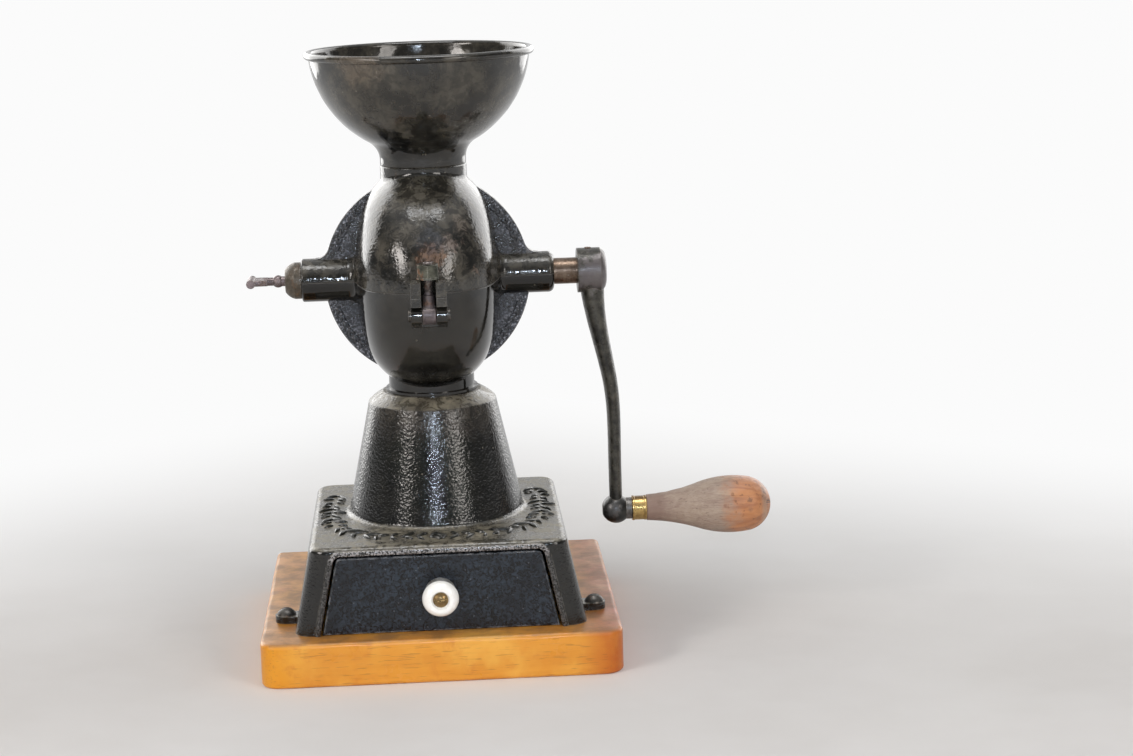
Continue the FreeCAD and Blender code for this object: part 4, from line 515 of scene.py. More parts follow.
@dataclass(frozen=True)
class JapannedIron(Finish):
    """Black lacquer baked on cast iron.

    low and high are its darkest and lightest tone, gloss and dull its roughness where it is best and worst, peel the
    metres of its ripples and grain their number per metre. mottle is how much black lacquer shows through dust and
    rust in torn blots. web is the half thickness of a pebbled disc across it, in metres, and parting whether it is
    split level with the spindle. bead_glint_front gives how far in front of the middle its raised bead begins to get a
    painted highlight, mixed with rubbed bright iron, and the heights between which it grows towards the top. pebbles
    are the disc's stones per metre, glint_tips and rim_line the distances from the spindle between which its painted
    glints on the pebble tips and its pale line along the rim come in, and seam the distances from the split at which
    its seam begins to show and is full.
    """

    low: Colour = LACQUER_BLACK
    high: Colour = (0.02, 0.018, 0.013)
    gloss: float = 0.09
    dull: float = 0.3
    peel: float = 5e-5
    grain: float = 420.0
    swell: float = 45.0
    share: float = 6.0
    rust: float = 0.1
    rust_size: float = 45.0
    rust_tones: tuple[Colour, Colour] = ((0.035, 0.02, 0.012), (0.15, 0.08, 0.042))
    dust: float = 0.0
    dust_colour: Colour = (0.125, 0.115, 0.088)
    edge: float = 0.5
    edge_colour: Colour = (0.09, 0.07, 0.05)
    specks: float = 0.01
    mottle: float = 0.0
    web: float = 0.0
    pebbles: float = 800.0
    glint_tips: tuple[float, float] = (0.046, 0.058)
    rim_line: tuple[float, float] = (0.0588, 0.0593)
    parting: bool = False
    seam: tuple[float, float] = (0.00045, 0.00012)
    bead_glint_front: Optional[Point] = None
    ior: float = 1.55
    patches: tuple[Patch, ...] = ()

    def lay(self, graph: Graph, where: Socket) -> dict:
        """Lays lacquer and its web, patches, dust, rust, blots, specks, worn edges, the bead's painted highlight and
        seam.

        Args:
            graph: the material's graph.
            where: place on the object.

        Returns:
            Inputs of the Principled shader by name.
        """
        tone = graph.step(graph.noise(where, 60.0, 6.0, 0.62), 0.32, 0.72)
        rough = graph.step(graph.noise(where, 130.0, 5.0, 0.6), 0.35, 0.75, self.gloss, self.dull)
        coat = Coat(graph, where, graph.blend(tone, self.low, self.high), rough)
        coat.height = graph.times(coat.read(CAST_SKIN, Grain=self.grain, Swell=self.swell, Share=self.share), self.peel)
        if self.web:
            self.lay_web(coat)
        coat.patch(self.patches)
        if self.dust:
            coat.cover(coat.read(DUST, Amount=self.dust), self.dust_colour, rough=0.55)
        coat.corrode(self.rust_size, self.rust, self.rust_tones, share=0.7, rough=0.5, depth=6e-5)
        if self.mottle:
            blots = graph.step(graph.noise(where, 150.0, 7.0, 0.74, 0.9), 0.45, 0.56)
            coat.cover(graph.times(blots, self.mottle), LACQUER_BLACK, rough=self.gloss)
        coat.cover(coat.read(SPECKS, Size=650.0, Share=self.specks), (0.2, 0.18, 0.14), 0.5)
        if self.edge:
            coat.cover(coat.read(WORN_EDGE, Reach=0.0011, Amount=self.edge), self.edge_colour, rough=0.32)
        # Painted highlight on the bead's front, stronger towards its top, mixed with rubbed bright iron.
        if self.bead_glint_front is not None:
            self.paint_bead_glint(coat, *self.bead_glint_front)
        if self.parting:
            away = graph.math("ABSOLUTE", graph.math("SUBTRACT", graph.part(where, "Z"), SHAFT_Z))
            seam = graph.step(away, *self.seam)
            coat.cover(seam, (0.045, 0.04, 0.034), 0.6, rough=0.6)
            coat.lift(seam, -2e-4)
        return {"Base Color": coat.colour, "Roughness": coat.rough, "Normal": graph.bump(coat.height, 1.0),
                "IOR": self.ior}

    def lay_web(self, coat: Coat) -> None:
        """Lays the disc's blue black pebbles, painted glints on their tips near the rim and a pale line along the rim.

        Args:
            coat: what is laid so far.
        """
        graph, where = coat.graph, coat.where
        flat = graph.step(graph.math("ABSOLUTE", graph.part(where, "Y")), self.web + 6e-4, self.web + 1e-4)
        stones = graph.noise(where, self.pebbles, 2.5, 0.55)
        coat.lift(graph.times(stones, flat), 2.6e-4)
        blue = graph.blend(graph.step(stones, 0.4, 0.62), (0.004, 0.005, 0.009), (0.05, 0.053, 0.07))
        coat.cover(flat, blue, 0.85, rough=0.36)
        away = graph.measure("LENGTH", graph.mapped(where, shift=(0.0, 0.0, -SHAFT_Z), scale=(1.0, 0.0, 1.0)))
        # Painted glints: pale grey on the pebble tips near the rim.
        glint_tips = graph.times(graph.step(stones, 0.54, 0.62), graph.step(away, *self.glint_tips), flat)
        coat.cover(glint_tips, (0.42, 0.42, 0.46), 0.6)
        coat.cover(graph.times(graph.step(away, *self.rim_line), flat), (0.17, 0.16, 0.15), 0.55)

    def paint_bead_glint(self, coat: Coat, front: float, low: float, high: float) -> None:
        """Paints a highlight along the front of the bead, stronger towards its top, mixed with rubbed bright iron.

        Args:
            coat: what is laid so far.
            front: how far in front of the middle it begins.
            low: height at which the painted highlight begins to grow.
            high: height at which it is full.
        """
        graph, where = coat.graph, coat.where
        ahead = graph.step(graph.part(where, "Y"), -front, -front - 7e-4)
        torn = graph.step(graph.noise(where, 900.0, 4.0, 0.65), 0.44, 0.58)
        much = graph.step(graph.part(where, "Z"), low, high, 0.16, 0.75)
        coat.cover(graph.times(ahead, torn, much), (0.42, 0.4, 0.4), rough=0.3)


@dataclass(frozen=True)
class BareMetal(Finish):
    """Metal without paint, from dark oxidised steel to brown rust.

    clean is the metal's own colour, dark the colour of its oxide, rust the amount of rust, turned the turning marks
    per metre along x, and pits the metres of its roughness, grain of them per metre.
    """

    clean: Colour = (0.16, 0.15, 0.14)
    dark: Colour = (0.05, 0.045, 0.04)
    gloss: float = 0.3
    dull: float = 0.55
    metallic: float = 0.8
    rust: float = 0.4
    rust_size: float = 110.0
    rust_tones: tuple[Colour, Colour] = ((0.045, 0.022, 0.012), (0.2, 0.1, 0.05))
    edge: float = 0.6
    bright: Colour = (0.34, 0.3, 0.26)
    turned: float = 0.0
    pits: float = 6e-5
    grain: float = 500.0
    specks: float = 0.03
    patches: tuple[Patch, ...] = ()

    def lay(self, graph: Graph, where: Socket) -> dict:
        """Lays oxide over metal, then patches, rust, turning marks, specks and rubbed edges.

        Args:
            graph: the material's graph.
            where: place on the object.

        Returns:
            Inputs of the Principled shader by name.
        """
        cloud = graph.step(graph.noise(where, 160.0, 6.0, 0.65), 0.32, 0.7)
        rough = graph.step(graph.noise(where, 300.0, 4.0, 0.6), 0.3, 0.7, self.gloss, self.dull)
        height = graph.times(graph.noise(where, self.grain, 3.0, 0.6), self.pits)
        coat = Coat(graph, where, graph.blend(cloud, self.dark, self.clean), rough, height)
        coat.patch(self.patches)
        rust = coat.corrode(self.rust_size, self.rust, self.rust_tones, share=1.0, rough=0.66, depth=8e-5)
        if self.turned:
            marks = coat.read(TURNED, Pitch=self.turned)
            coat.lift(marks, 7e-5)
            coat.cover(graph.step(marks, 0.45, 0.7, 0.0, 0.6), self.dark)
        coat.cover(coat.read(SPECKS, Size=650.0, Share=self.specks), self.bright, 0.5)
        if self.edge:
            coat.cover(coat.read(WORN_EDGE, Reach=0.0009, Amount=self.edge), self.bright, rough=0.3)
        return {"Base Color": coat.colour, "Roughness": coat.rough, "Metallic": graph.level(rust, self.metallic, 0.1),
                "Normal": graph.bump(coat.height, 1.0)}


@dataclass(frozen=True)
class Brass(Finish):
    """Handled brass: bright where it is rubbed, brown in its grooves, and from the height shaded_from a painted shade
    of darker brown on top.
    """

    clean: Colour = (0.56, 0.39, 0.155)
    dark: Colour = (0.17, 0.1, 0.04)
    tarnish: float = 0.6
    shaded_from: Optional[float] = None

    def lay(self, graph: Graph, where: Socket) -> dict:
        """Lays tarnish over bright metal with fine turning marks, and painted shade on the top.

        Args:
            graph: the material's graph.
            where: place on the object.

        Returns:
            Inputs of the Principled shader by name.
        """
        cloud = graph.step(graph.noise(where, 220.0, 5.0, 0.65), 0.35, 0.75)
        coat = Coat(graph, where, self.clean)
        coat.cover(cloud, self.dark, self.tarnish)
        # Painted shade: darker brown over the ferrule's top.
        if self.shaded_from is not None:
            high = graph.math("ADD", graph.part(where, "Z"), graph.swing(graph.noise(where, 400.0, 4.0, 0.6), 0.003))
            coat.cover(graph.step(high, self.shaded_from, self.shaded_from + 0.0018), (0.07, 0.035, 0.015), 0.85)
        coat.cover(coat.read(WORN_EDGE, Reach=0.0005, Amount=0.5), (0.7, 0.54, 0.27))
        return {"Base Color": coat.colour, "Metallic": 1.0, "Roughness": graph.step(cloud, 0.0, 1.0, 0.26, 0.46),
                "Normal": graph.bump(coat.read(TURNED, Pitch=2200.0), 4e-5)}


@dataclass(frozen=True)
class VarnishedBoard(Finish):
    """Amber varnish over fine grained wood: yellower on the left, redder at the right corners, dusty tan on top."""

    pale: Colour = (0.75, 0.32, 0.038)
    deep: Colour = (0.58, 0.2, 0.015)
    yellow: Colour = (0.74, 0.29, 0.007)
    red: Colour = (0.46, 0.085, 0.003)
    dust: Colour = (0.15, 0.087, 0.04)
    half_width: float = 0.1016

    def lay(self, graph: Graph, where: Socket) -> dict:
        """Lays grain, a yellower left end and a redder, darker right end, dust on top and pale scuffed edges that also
        paint a glint.

        Args:
            graph: the material's graph.
            where: place on the object.

        Returns:
            Inputs of the Principled shader by name.
        """
        wood = WOOD.put(graph, Where=where, Rings=60.0, Fibres=900.0)
        coat = Coat(graph, where, self.pale, height=wood["Height"])
        coat.cover(wood["Ring"], self.deep, 0.5)
        coat.cover(wood["Fibre"], self.deep, 0.2)
        cloud = graph.noise(where, 28.0, 4.0, 0.6)
        coat.cover(graph.step(cloud, 0.46, 0.72, 0.0, 0.6), (0.86, 0.47, 0.08))
        across = graph.part(where, "X")
        # Yellower towards the left end; redder and darker at the right corners.
        coat.cover(graph.step(across, 0.03 - self.half_width, 0.006 - self.half_width), self.yellow, 0.75)
        right = graph.step(across, self.half_width - 0.03, self.half_width - 0.003)
        coat.cover(graph.times(right, graph.step(cloud, 0.35, 0.6, 0.4, 0.95)), self.red)
        coat.cover(wood["Pore"], (0.2, 0.07, 0.015), 0.4)
        coat.cover(graph.step(graph.noise(where, 46.0, 6.0, 0.7, 0.6), 0.5, 0.68), (0.56, 0.17, 0.02), 0.5)
        settled = coat.read(DUST, Amount=0.72)
        coat.cover(settled, self.dust)
        # Pale edges: scuffed varnish, and a painted glint on the rounded edges.
        coat.cover(coat.read(WORN_EDGE, Reach=0.0016, Amount=0.5), (0.8, 0.56, 0.3))
        rough = graph.level(settled, graph.step(cloud, 0.3, 0.7, 0.24, 0.4), 0.58)
        return {"Base Color": coat.colour, "Roughness": rough, "Coat Weight": graph.level(settled, 0.12, 0.0),
                "IOR": 1.42, "Coat Roughness": 0.18, "Normal": graph.bump(coat.height, 6e-5)}


@dataclass(frozen=True)
class WeatheredGrip(Finish):
    """Turned handle: bare grey wood in the middle, brown at its neck, old orange varnish and cracks at its end.

    start and end are its ends along x, and axis_z is the height of its axis.
    """

    start: float = 0.12425
    end: float = 0.19845
    axis_z: float = 0.07

    def lay(self, graph: Graph, where: Socket) -> dict:
        """Lays bare wood, stained neck, varnish remains, a bare rim, cracks that run from its axis, blots and dents.

        Args:
            graph: the material's graph.
            where: place on the object.

        Returns:
            Inputs of the Principled shader by name.
        """
        wood = WOOD.put(graph, Where=where, Rings=170.0, Fibres=1300.0)
        coat = Coat(graph, where, graph.blend(wood["Ring"], (0.37, 0.28, 0.21), (0.28, 0.195, 0.15)),
                    height=wood["Height"])
        coat.cover(wood["Fibre"], (0.48, 0.39, 0.31), 0.45)
        coat.cover(wood["Pore"], (0.12, 0.07, 0.05), 0.5)
        along = graph.part(where, "X")
        cloud = graph.noise(where, 120.0, 5.0, 0.62)
        shifted = graph.math("ADD", along, graph.swing(cloud, 0.03))
        coat.cover(graph.step(shifted, self.start + 0.024, self.start + 0.003), (0.22, 0.135, 0.105), 0.75)
        orange = graph.step(shifted, self.end - 0.034, self.end - 0.017)
        coat.cover(orange, graph.blend(wood["Ring"], (0.56, 0.22, 0.07), (0.38, 0.13, 0.042)), 0.85)
        rim = graph.times(graph.step(along, self.end - 0.0075, self.end - 0.005),
                          graph.step(along, self.end - 0.002, self.end - 0.004))
        coat.cover(rim, (0.33, 0.28, 0.23), 0.45)
        centred = graph.mapped(where, shift=(0.0, 0.0, -self.axis_z))
        angle = graph.math("ARCTAN2", graph.part(centred, "Z"), graph.part(centred, "Y"))
        rays = graph.node("ShaderNodeCombineXYZ", {0: angle, 1: graph.times(cloud, 0.9)}).outputs[0]
        crack = graph.times(graph.step(graph.noise(rays, 3.2, 3.0, 0.6), 0.585, 0.65),
                            graph.step(along, self.end - 0.0048, self.end - 0.0022))
        coat.cover(crack, (0.05, 0.03, 0.02), 0.85)
        blot = graph.times(graph.step(graph.noise(where, 240.0, 4.0, 0.6), 0.56, 0.66), orange)
        coat.cover(blot, (0.12, 0.06, 0.035), 0.6)
        dent = coat.read(SPECKS, Size=190.0, Share=0.1)
        coat.cover(dent, (0.17, 0.1, 0.07), 0.3)
        coat.lift(dent, -0.6)
        coat.lift(crack, -1.5)
        return {"Base Color": coat.colour, "Roughness": graph.level(orange, 0.62, 0.42),
                "Normal": graph.bump(coat.height, 1.3e-4)}


@dataclass(frozen=True)
class PaintedSheet(Finish):
    """Blue black paint on sheet metal: finely wrinkled, mottled and with a few pale specks."""

    low: Colour = (0.001, 0.0015, 0.003)
    high: Colour = (0.021, 0.031, 0.046)
    rough: float = 0.27

    def lay(self, graph: Graph, where: Socket) -> dict:
        """Lays wrinkled paint, stains, specks and pale worn edges, which also paint a highlight on the rounded edges.

        Args:
            graph: the material's graph.
            where: place on the object.

        Returns:
            Inputs of the Principled shader by name.
        """
        wrinkle, broad = graph.noise(where, 430.0, 5.0, 0.62, 1.2), graph.noise(where, 42.0, 4.0, 0.6)
        cloud = graph.step(wrinkle, 0.42, 0.62)
        coat = Coat(graph, where, graph.blend(cloud, self.low, self.high), height=graph.times(wrinkle, 2e-4))
        coat.cover(graph.step(broad, 0.42, 0.62, 0.0, 0.65), (0.003, 0.004, 0.007))
        coat.cover(coat.read(SPECKS, Size=760.0, Share=0.025), (0.2, 0.22, 0.25), 0.4)
        # Pale grey edges: worn paint, and a painted highlight along the rounded edges.
        coat.cover(coat.read(WORN_EDGE, Reach=0.0012, Amount=1.0), (0.42, 0.42, 0.43))
        coat.lift(broad, 4e-4)
        return {"Base Color": coat.colour, "Roughness": graph.step(cloud, 0.0, 1.0, self.rough, self.rough + 0.15),
                "Normal": graph.bump(coat.height, 1.0)}


@dataclass(frozen=True)
class Porcelain(Finish):
    """White glaze with faint grey crazing and grime in its hollows."""

    white: Colour = (0.96, 0.955, 0.92)

    def lay(self, graph: Graph, where: Socket) -> dict:
        """Lays glaze over a faintly clouded body.

        Args:
            graph: the material's graph.
            where: place on the object.

        Returns:
            Inputs of the Principled shader by name.
        """
        cloud = graph.step(graph.noise(where, 260.0, 5.0, 0.6), 0.4, 0.8)
        cracks = graph.node("ShaderNodeTexVoronoi", {"Vector": where, "Scale": 420.0}, feature="DISTANCE_TO_EDGE")
        coat = Coat(graph, where, self.white)
        coat.cover(cloud, (0.66, 0.6, 0.48), 0.2)
        coat.cover(graph.step(cracks.outputs["Distance"], 0.025, 0.0, 0.0, 0.18), (0.35, 0.3, 0.22))
        return {"Base Color": coat.colour, "Roughness": graph.step(cloud, 0.0, 1.0, 0.12, 0.24), "Coat Weight": 0.6,
                "Coat Roughness": 0.05, "Normal": graph.bump(graph.noise(where, 150.0, 1.0), 6e-5)}


# ---------------------------------------------------------------- surfaces


@dataclass
class Surface:
    """Points in metres with the faces between them, as arrays of quads and triangles; a grid's quads come first."""

    points: np.ndarray
    faces: list[np.ndarray] = field(default_factory=list)

    @classmethod
    def from_grid(cls, grid: np.ndarray, around: bool = False) -> "Surface":
        """Makes quads between the points of a grid.

        Args:
            grid: points by row and column, shape (rows, columns, 3).
            around: whether the last column joins the first.

        Returns:
            The surface.
        """
        rows, columns = grid.shape[:2]
        number = np.arange(rows * columns).reshape(rows, columns)
        if around:
            number = np.concatenate([number, number[:, :1]], axis=1)
        quads = np.stack([number[:-1, :-1], number[1:, :-1], number[1:, 1:], number[:-1, 1:]], axis=-1)
        return cls(grid.reshape(-1, 3), [quads.reshape(-1, 4)])

    @classmethod
    def from_tubes(cls, grids: np.ndarray, poles: np.ndarray) -> "Surface":
        """Makes many small closed shapes, each of rings between two end points.

        Args:
            grids: points by shape, ring and place round the ring, shape (shapes, rings, round, 3).
            poles: the two end points of each shape, shape (shapes, 2, 3).

        Returns:
            The surface.
        """
        one = cls.from_grid(grids[0], around=True).with_pole(poles[0, 0], True).with_pole(poles[0, 1], False)
        shift = (np.arange(len(grids)) * len(one.points))[:, None, None]
        points = np.concatenate([grids.reshape(len(grids), -1, 3), poles], axis=1).reshape(-1, 3)
        return cls(points, [(part + shift).reshape(-1, part.shape[1]) for part in one.faces])

    @classmethod
    def joined(cls, surfaces: Sequence["Surface"]) -> "Surface":
        """Puts several surfaces into one.

        Args:
            surfaces: the surfaces.

        Returns:
            The one surface.
        """
        starts = np.cumsum([0] + [len(surface.points) for surface in surfaces])
        faces = [part + start for surface, start in zip(surfaces, starts) for part in surface.faces]
        return cls(np.vstack([surface.points for surface in surfaces]), faces)

    def with_pole(self, pole: np.ndarray, first: bool) -> "Surface":
        """Closes the first or the last row of a ring grid with a fan to one point.

        Args:
            pole: the point.
            first: whether the first row is closed, and not the last.

        Returns:
            The surface.
        """
        quads = self.faces[0]
        columns = int(quads[0, 1] - quads[0, 0])
        ring = np.arange(columns) + (0 if first else int(quads.max()) + 1 - columns)
        after, tip = np.roll(ring, -1), np.full(columns, len(self.points))
        fan = np.stack([tip, ring, after] if first else [ring, tip, after], axis=-1)
        return Surface(np.vstack([self.points, pole]), [*self.faces, fan])

    def outward(self) -> "Surface":
        """Turns the faces so that they point outwards.

        The signed volume, a sixth of the triple product summed over triangles, says which way they point.

        Returns:
            The surface.
        """
        volume = 0.0
        for part in self.faces:
            for last in range(2, part.shape[1]):
                a, b, c = (self.points[part[:, k]] for k in (0, last - 1, last))
                volume += float(np.einsum("ij,ij->i", a, np.cross(b, c)).sum()) / 6.0
        return Surface(self.points, [part[:, ::-1] for part in self.faces]) if volume < 0 else self

    def mesh(self, name: str, smooth: bool = True, crease: float = 40.0) -> bpy.types.Object:
        """Makes the Blender object.

        Args:
            name: its name.
            smooth: whether it is shaded smooth.
            crease: edges sharper than this many degrees stay sharp.

        Returns:
            The object.
        """
        data = bpy.data.meshes.new(name)
        data.from_pydata(self.points.tolist(), [], [face for part in self.faces for face in part.tolist()])
        data.validate()
        if smooth:
            data.shade_smooth()
            data.set_sharp_from_angle(angle=math.radians(crease))
        made = bpy.data.objects.new(name, data)
        bpy.context.scene.collection.objects.link(made)
        return made


class Outline:
    """A profile of straight runs and arcs, in millimetres along and out from an axis."""

    def __init__(self, along: float, out: float) -> None:
        """Starts the profile at a point."""
        self.points: list[np.ndarray] = [np.array([along, out], float)]

    def line(self, along: float, out: float, steps: int = 1) -> "Outline":
        """Runs straight to a point.

        Args:
            along: its place along the axis.
            out: its distance from the axis.
            steps: number of equal runs.

        Returns:
            The profile.
        """
        start, end = self.points[-1], np.array([along, out], float)
        self.points.extend(start + (end - start) * k / steps for k in range(1, steps + 1))
        return self

    def arc(self, along: float, out: float, radius: float, left: bool, steps: int = 10) -> "Outline":
        """Runs to a point on an arc of less than half a turn.

        The centre lies on the chord's middle normal, sqrt(radius^2 - half chord^2) away from it.

        Args:
            along: the point's place along the axis.
            out: its distance from the axis.
            radius: the arc's radius.
            left: whether the centre is on the left of the chord.
            steps: number of runs.

        Returns:
            The profile.
        """
        start, end = self.points[-1], np.array([along, out], float)
        chord = end - start
        length = float(np.hypot(*chord))
        normal = np.array([-chord[1], chord[0]]) / length * (1 if left else -1)
        centre = (start + end) / 2 + normal * math.sqrt(max(radius ** 2 - length ** 2 / 4, 0.0))
        first, last = (math.atan2(*(point - centre)[::-1]) for point in (start, end))
        sweep = (last - first + math.pi) % (2 * math.pi) - math.pi
        angles = first + sweep * np.arange(1, steps + 1) / steps
        self.points.extend(centre + radius * np.stack([np.cos(angles), np.sin(angles)], axis=-1))
        return self

    def array(self) -> np.ndarray:
        """Gives the profile's points in metres."""
        return np.array(self.points) * MM


def turned(profile: np.ndarray, axis: Axis, origin: Point, turns: int, swell: Optional[Swell] = None,
           ring: bool = False) -> Surface:
    """Turns a profile about an axis: point (a, r) at angle t goes to a along it and r (cos t, sin t) across it.

    Args:
        profile: points (along, out) in metres.
        axis: the axis.
        origin: a point on it.
        turns: points round the axis.
        swell: gives metres that are added to r, from the place along, r and the angle.
        ring: whether the profile's end joins its start.

    Returns:
        The closed surface.
    """
    angle = np.linspace(0, 2 * np.pi, turns, endpoint=False)
    off_axis = profile[profile[:, 1] > 1e-9]
    along = np.repeat(off_axis[:, :1], turns, axis=1)
    out = np.repeat(off_axis[:, 1:], turns, axis=1)
    if swell is not None:
        out = out + swell(along, out, np.broadcast_to(angle, along.shape))
    grid = np.empty((*along.shape, 3))
    for column, values in zip(axis.value, (along, out * np.cos(angle), out * np.sin(angle))):
        grid[..., column] = values + origin[column]
    if ring:
        return Surface.from_grid(np.concatenate([grid, grid[:1]]), around=True).outward()
    made = Surface.from_grid(grid, around=True)
    for end, first in ((0, True), (-1, False)):
        pole = np.array(origin, float)
        pole[axis.value[0]] += profile[end, 0]
        made = made.with_pole(pole, first)
    return made.outward()


def wave(seed: int, deepest: float, above: float, count: int = 5) -> Swell:
    """Makes a gentle unevenness that only takes away: (sum of cosines of angle and place / count - 1) / 2 * deepest.

    Args:
        seed: picks the pattern.
        deepest: its greatest depth in metres.
        above: radius in metres at which it starts.
        count: number of cosines.

    Returns:
        The function of place along, radius and angle.
    """
    pick = np.random.default_rng(seed)
    turns, rates, starts = pick.integers(1, 7, count), pick.uniform(20, 130, count), pick.uniform(0, 6.28, count)

    def height(along: np.ndarray, out: np.ndarray, angle: np.ndarray) -> np.ndarray:
        """Gives the unevenness at each place.

        Args:
            along: place along the axis in metres.
            out: radius in metres.
            angle: angle round the axis.

        Returns:
            Metres to add to the radius.
        """
        total = sum(np.cos(t * angle + r * along + s) for t, r, s in zip(turns, rates, starts))
        share = np.clip((out - above) / (0.15 * above), 0.0, 1.0)
        return (total / count - 1.0) / 2.0 * deepest * share

    return height


def dents(seed: int, start: float, end: float, above: float, count: int, deepest: float) -> Swell:
    """Makes dents in a turned piece: each takes away depth * exp(-(distance / width)^2), measured on its surface.

    Args:
        seed: picks the dents.
        start: place along the axis where they begin, in metres.
        end: place where they end.
        above: radius in metres below which nothing is dented, such as a bore.
        count: number of dents.
        deepest: depth of the deepest one in metres.

    Returns:
        The function of place along, radius and angle.
    """
    pick = np.random.default_rng(seed)
    places, angles = pick.uniform(start, end, count), pick.uniform(0, 2 * np.pi, count)
    widths, depths = pick.uniform(9e-4, 2.4e-3, count), pick.uniform(0.35, 1.0, count) * deepest

    def height(along: np.ndarray, out: np.ndarray, angle: np.ndarray) -> np.ndarray:
        """Gives what the dents take away at each place.

        Args:
            along: place along the axis in metres.
            out: radius in metres.
            angle: angle round the axis.

        Returns:
            Metres to add to the radius, none above 0.
        """
        total = np.zeros_like(out)
        for place, turn, width, depth in zip(places, angles, widths, depths):
            round_way = ((angle - turn + np.pi) % (2 * np.pi) - np.pi) * out
            total -= depth * np.exp(-((along - place) ** 2 + round_way ** 2) / width ** 2)
        return np.where(out > above, total, 0.0)

    return height


def thread(start: float, end: float, pitch: float, depth: float) -> Swell:
    """Cuts a thread: takes away depth * (0.5 - 0.5 cos(2 pi place / pitch - angle)), fading at both ends.

    Args:
        start: place along the axis where it begins, in metres.
        end: place where it ends.
        pitch: metres from turn to turn.
        depth: its depth in metres.

    Returns:
        The function of place along, radius and angle.
    """
    def height(along: np.ndarray, out: np.ndarray, angle: np.ndarray) -> np.ndarray:
        """Gives the thread's depth at each place."""
        share = np.clip(np.minimum(along - start, end - along) / pitch, 0.0, 1.0)
        return -share * depth * (0.5 - 0.5 * np.cos(2 * np.pi * along / pitch - angle))

    return height


@dataclass(frozen=True)
class Leaf:
    """One leaf of a raised twig: its length, width and height in metres, its lean from the stem in degrees, the depth
    that its rim is sunk and the share by which leaves differ from each other. chance picks the differences."""

    length: float = 0.0112
    width: float = 0.0036
    rise: float = 0.0014
    lean: float = 50.0
    sink: float = 0.0005
    loose: float = 0.0
    chance: int = 11
    stations: tuple[float, ...] = (-0.82, -0.4, 0.05, 0.5, 0.85)

    def twig(self, path: np.ndarray, up: Point) -> Surface:
        """Lays two leaves at each point of a path, one on each side of it.

        A leaf runs from u = -1 to 1 along its own line. Round it, at angle t, its point lies
        width / 2 * (1 - u^2)^0.8 * (1 - u / 4) * cos t aside and rise * (1 - u^2)^0.5 * sin t up, and where sin t is
        below 0 the rise is the sink.

        Args:
            path: the stem's points, shape (points, 3).
            up: the direction in which the leaves rise.

        Returns:
            The leaves.
        """
        high = np.array(up, float)
        ahead = np.gradient(path, axis=0)
        ahead /= np.linalg.norm(ahead, axis=1, keepdims=True)
        beside = np.cross(high, ahead)
        pick = np.random.default_rng(self.chance)
        lean = np.radians(self.lean * pick.uniform(1 - self.loose, 1 + self.loose, (2, len(path), 1)))
        size = pick.uniform(1 - self.loose, 1 + self.loose * 0.3, (2 * len(path), 1))
        way = np.concatenate([np.cos(lean[k]) * ahead + side * np.sin(lean[k]) * beside
                              for k, side in enumerate((1.0, -1.0))])
        middle = np.concatenate([path, path]) + way * self.length * 0.42
        aside = np.cross(high, way) * size[::-1]
        way = way * size
        u = np.array(self.stations)[:, None]
        t = np.linspace(0, 2 * np.pi, 8, endpoint=False)[None, :]
        out = self.width / 2 * (1 - u ** 2) ** 0.8 * (1 - u / 4) * np.cos(t)
        lift = np.sqrt(1 - u ** 2) * np.where(np.sin(t) > 0, self.rise, self.sink) * np.sin(t)
        grids = (middle[:, None, None] + way[:, None, None] * (u * self.length / 2)[None, ..., None]
                 + aside[:, None, None] * out[None, ..., None] + high * lift[None, ..., None])
        ends = np.stack([middle - way * self.length / 2, middle + way * self.length / 2], axis=1)
        return Surface.from_tubes(grids, ends).outward()


def dress(finish: Finish, *nodes: str) -> None:
    """Gives CAD nodes their finish.

    Args:
        finish: the finish.
        nodes: the nodes' names.
    """
    made = finish.material()
    for node in nodes:
        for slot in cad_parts[node].material_slots:
            slot.material = made
        log.info("CAD piece %s: %s", node, finish.name)


def show(surface: Surface, name: str, finish: Finish, body: Body, instead_of: tuple[str, ...] = (),
         crease: float = 40.0) -> None:
    """Makes a piece, dresses it and lets it ride on its body.

    Args:
        surface: its shape.
        name: its name.
        finish: its finish.
        body: the body it rides on.
        instead_of: CAD nodes it stands for.
        crease: edges sharper than this many degrees stay sharp.
    """
    made = surface.mesh(name, crease=crease)
    made.data.materials.append(finish.material())
    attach(made, body.value)
    if instead_of:
        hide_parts(*instead_of)
    log.info("piece %s: %d points on %s", name, len(surface.points), body.value)


# ---------------------------------------------------------------- stage


@dataclass(frozen=True)
class Lamp:
    """A soft rectangular lamp: its middle, its width and height, the brightness of its face as white paper is 1, and
    the colour of its light. A card only makes reflections."""

    name: str
    place: Point
    size: tuple[float, float]
    glow: float
    colour: Colour
    card: bool = False

    def hang(self, target: Point) -> None:
        """Hangs the lamp so that it points at the target.

        Args:
            target: the point that it faces.
        """
        data = bpy.data.lights.new(self.name, "AREA")
        data.shape, data.size, data.size_y = "RECTANGLE", *self.size
        data.color = self.colour
        data.energy = self.glow * math.pi * self.size[0] * self.size[1]
        made = bpy.data.objects.new(self.name, data)
        made.location = self.place
        made.rotation_euler = (Vector(target) - Vector(self.place)).to_track_quat("-Z", "Z").to_euler()
        made.visible_camera = made.visible_diffuse = not self.card
        bpy.context.scene.collection.objects.link(made)


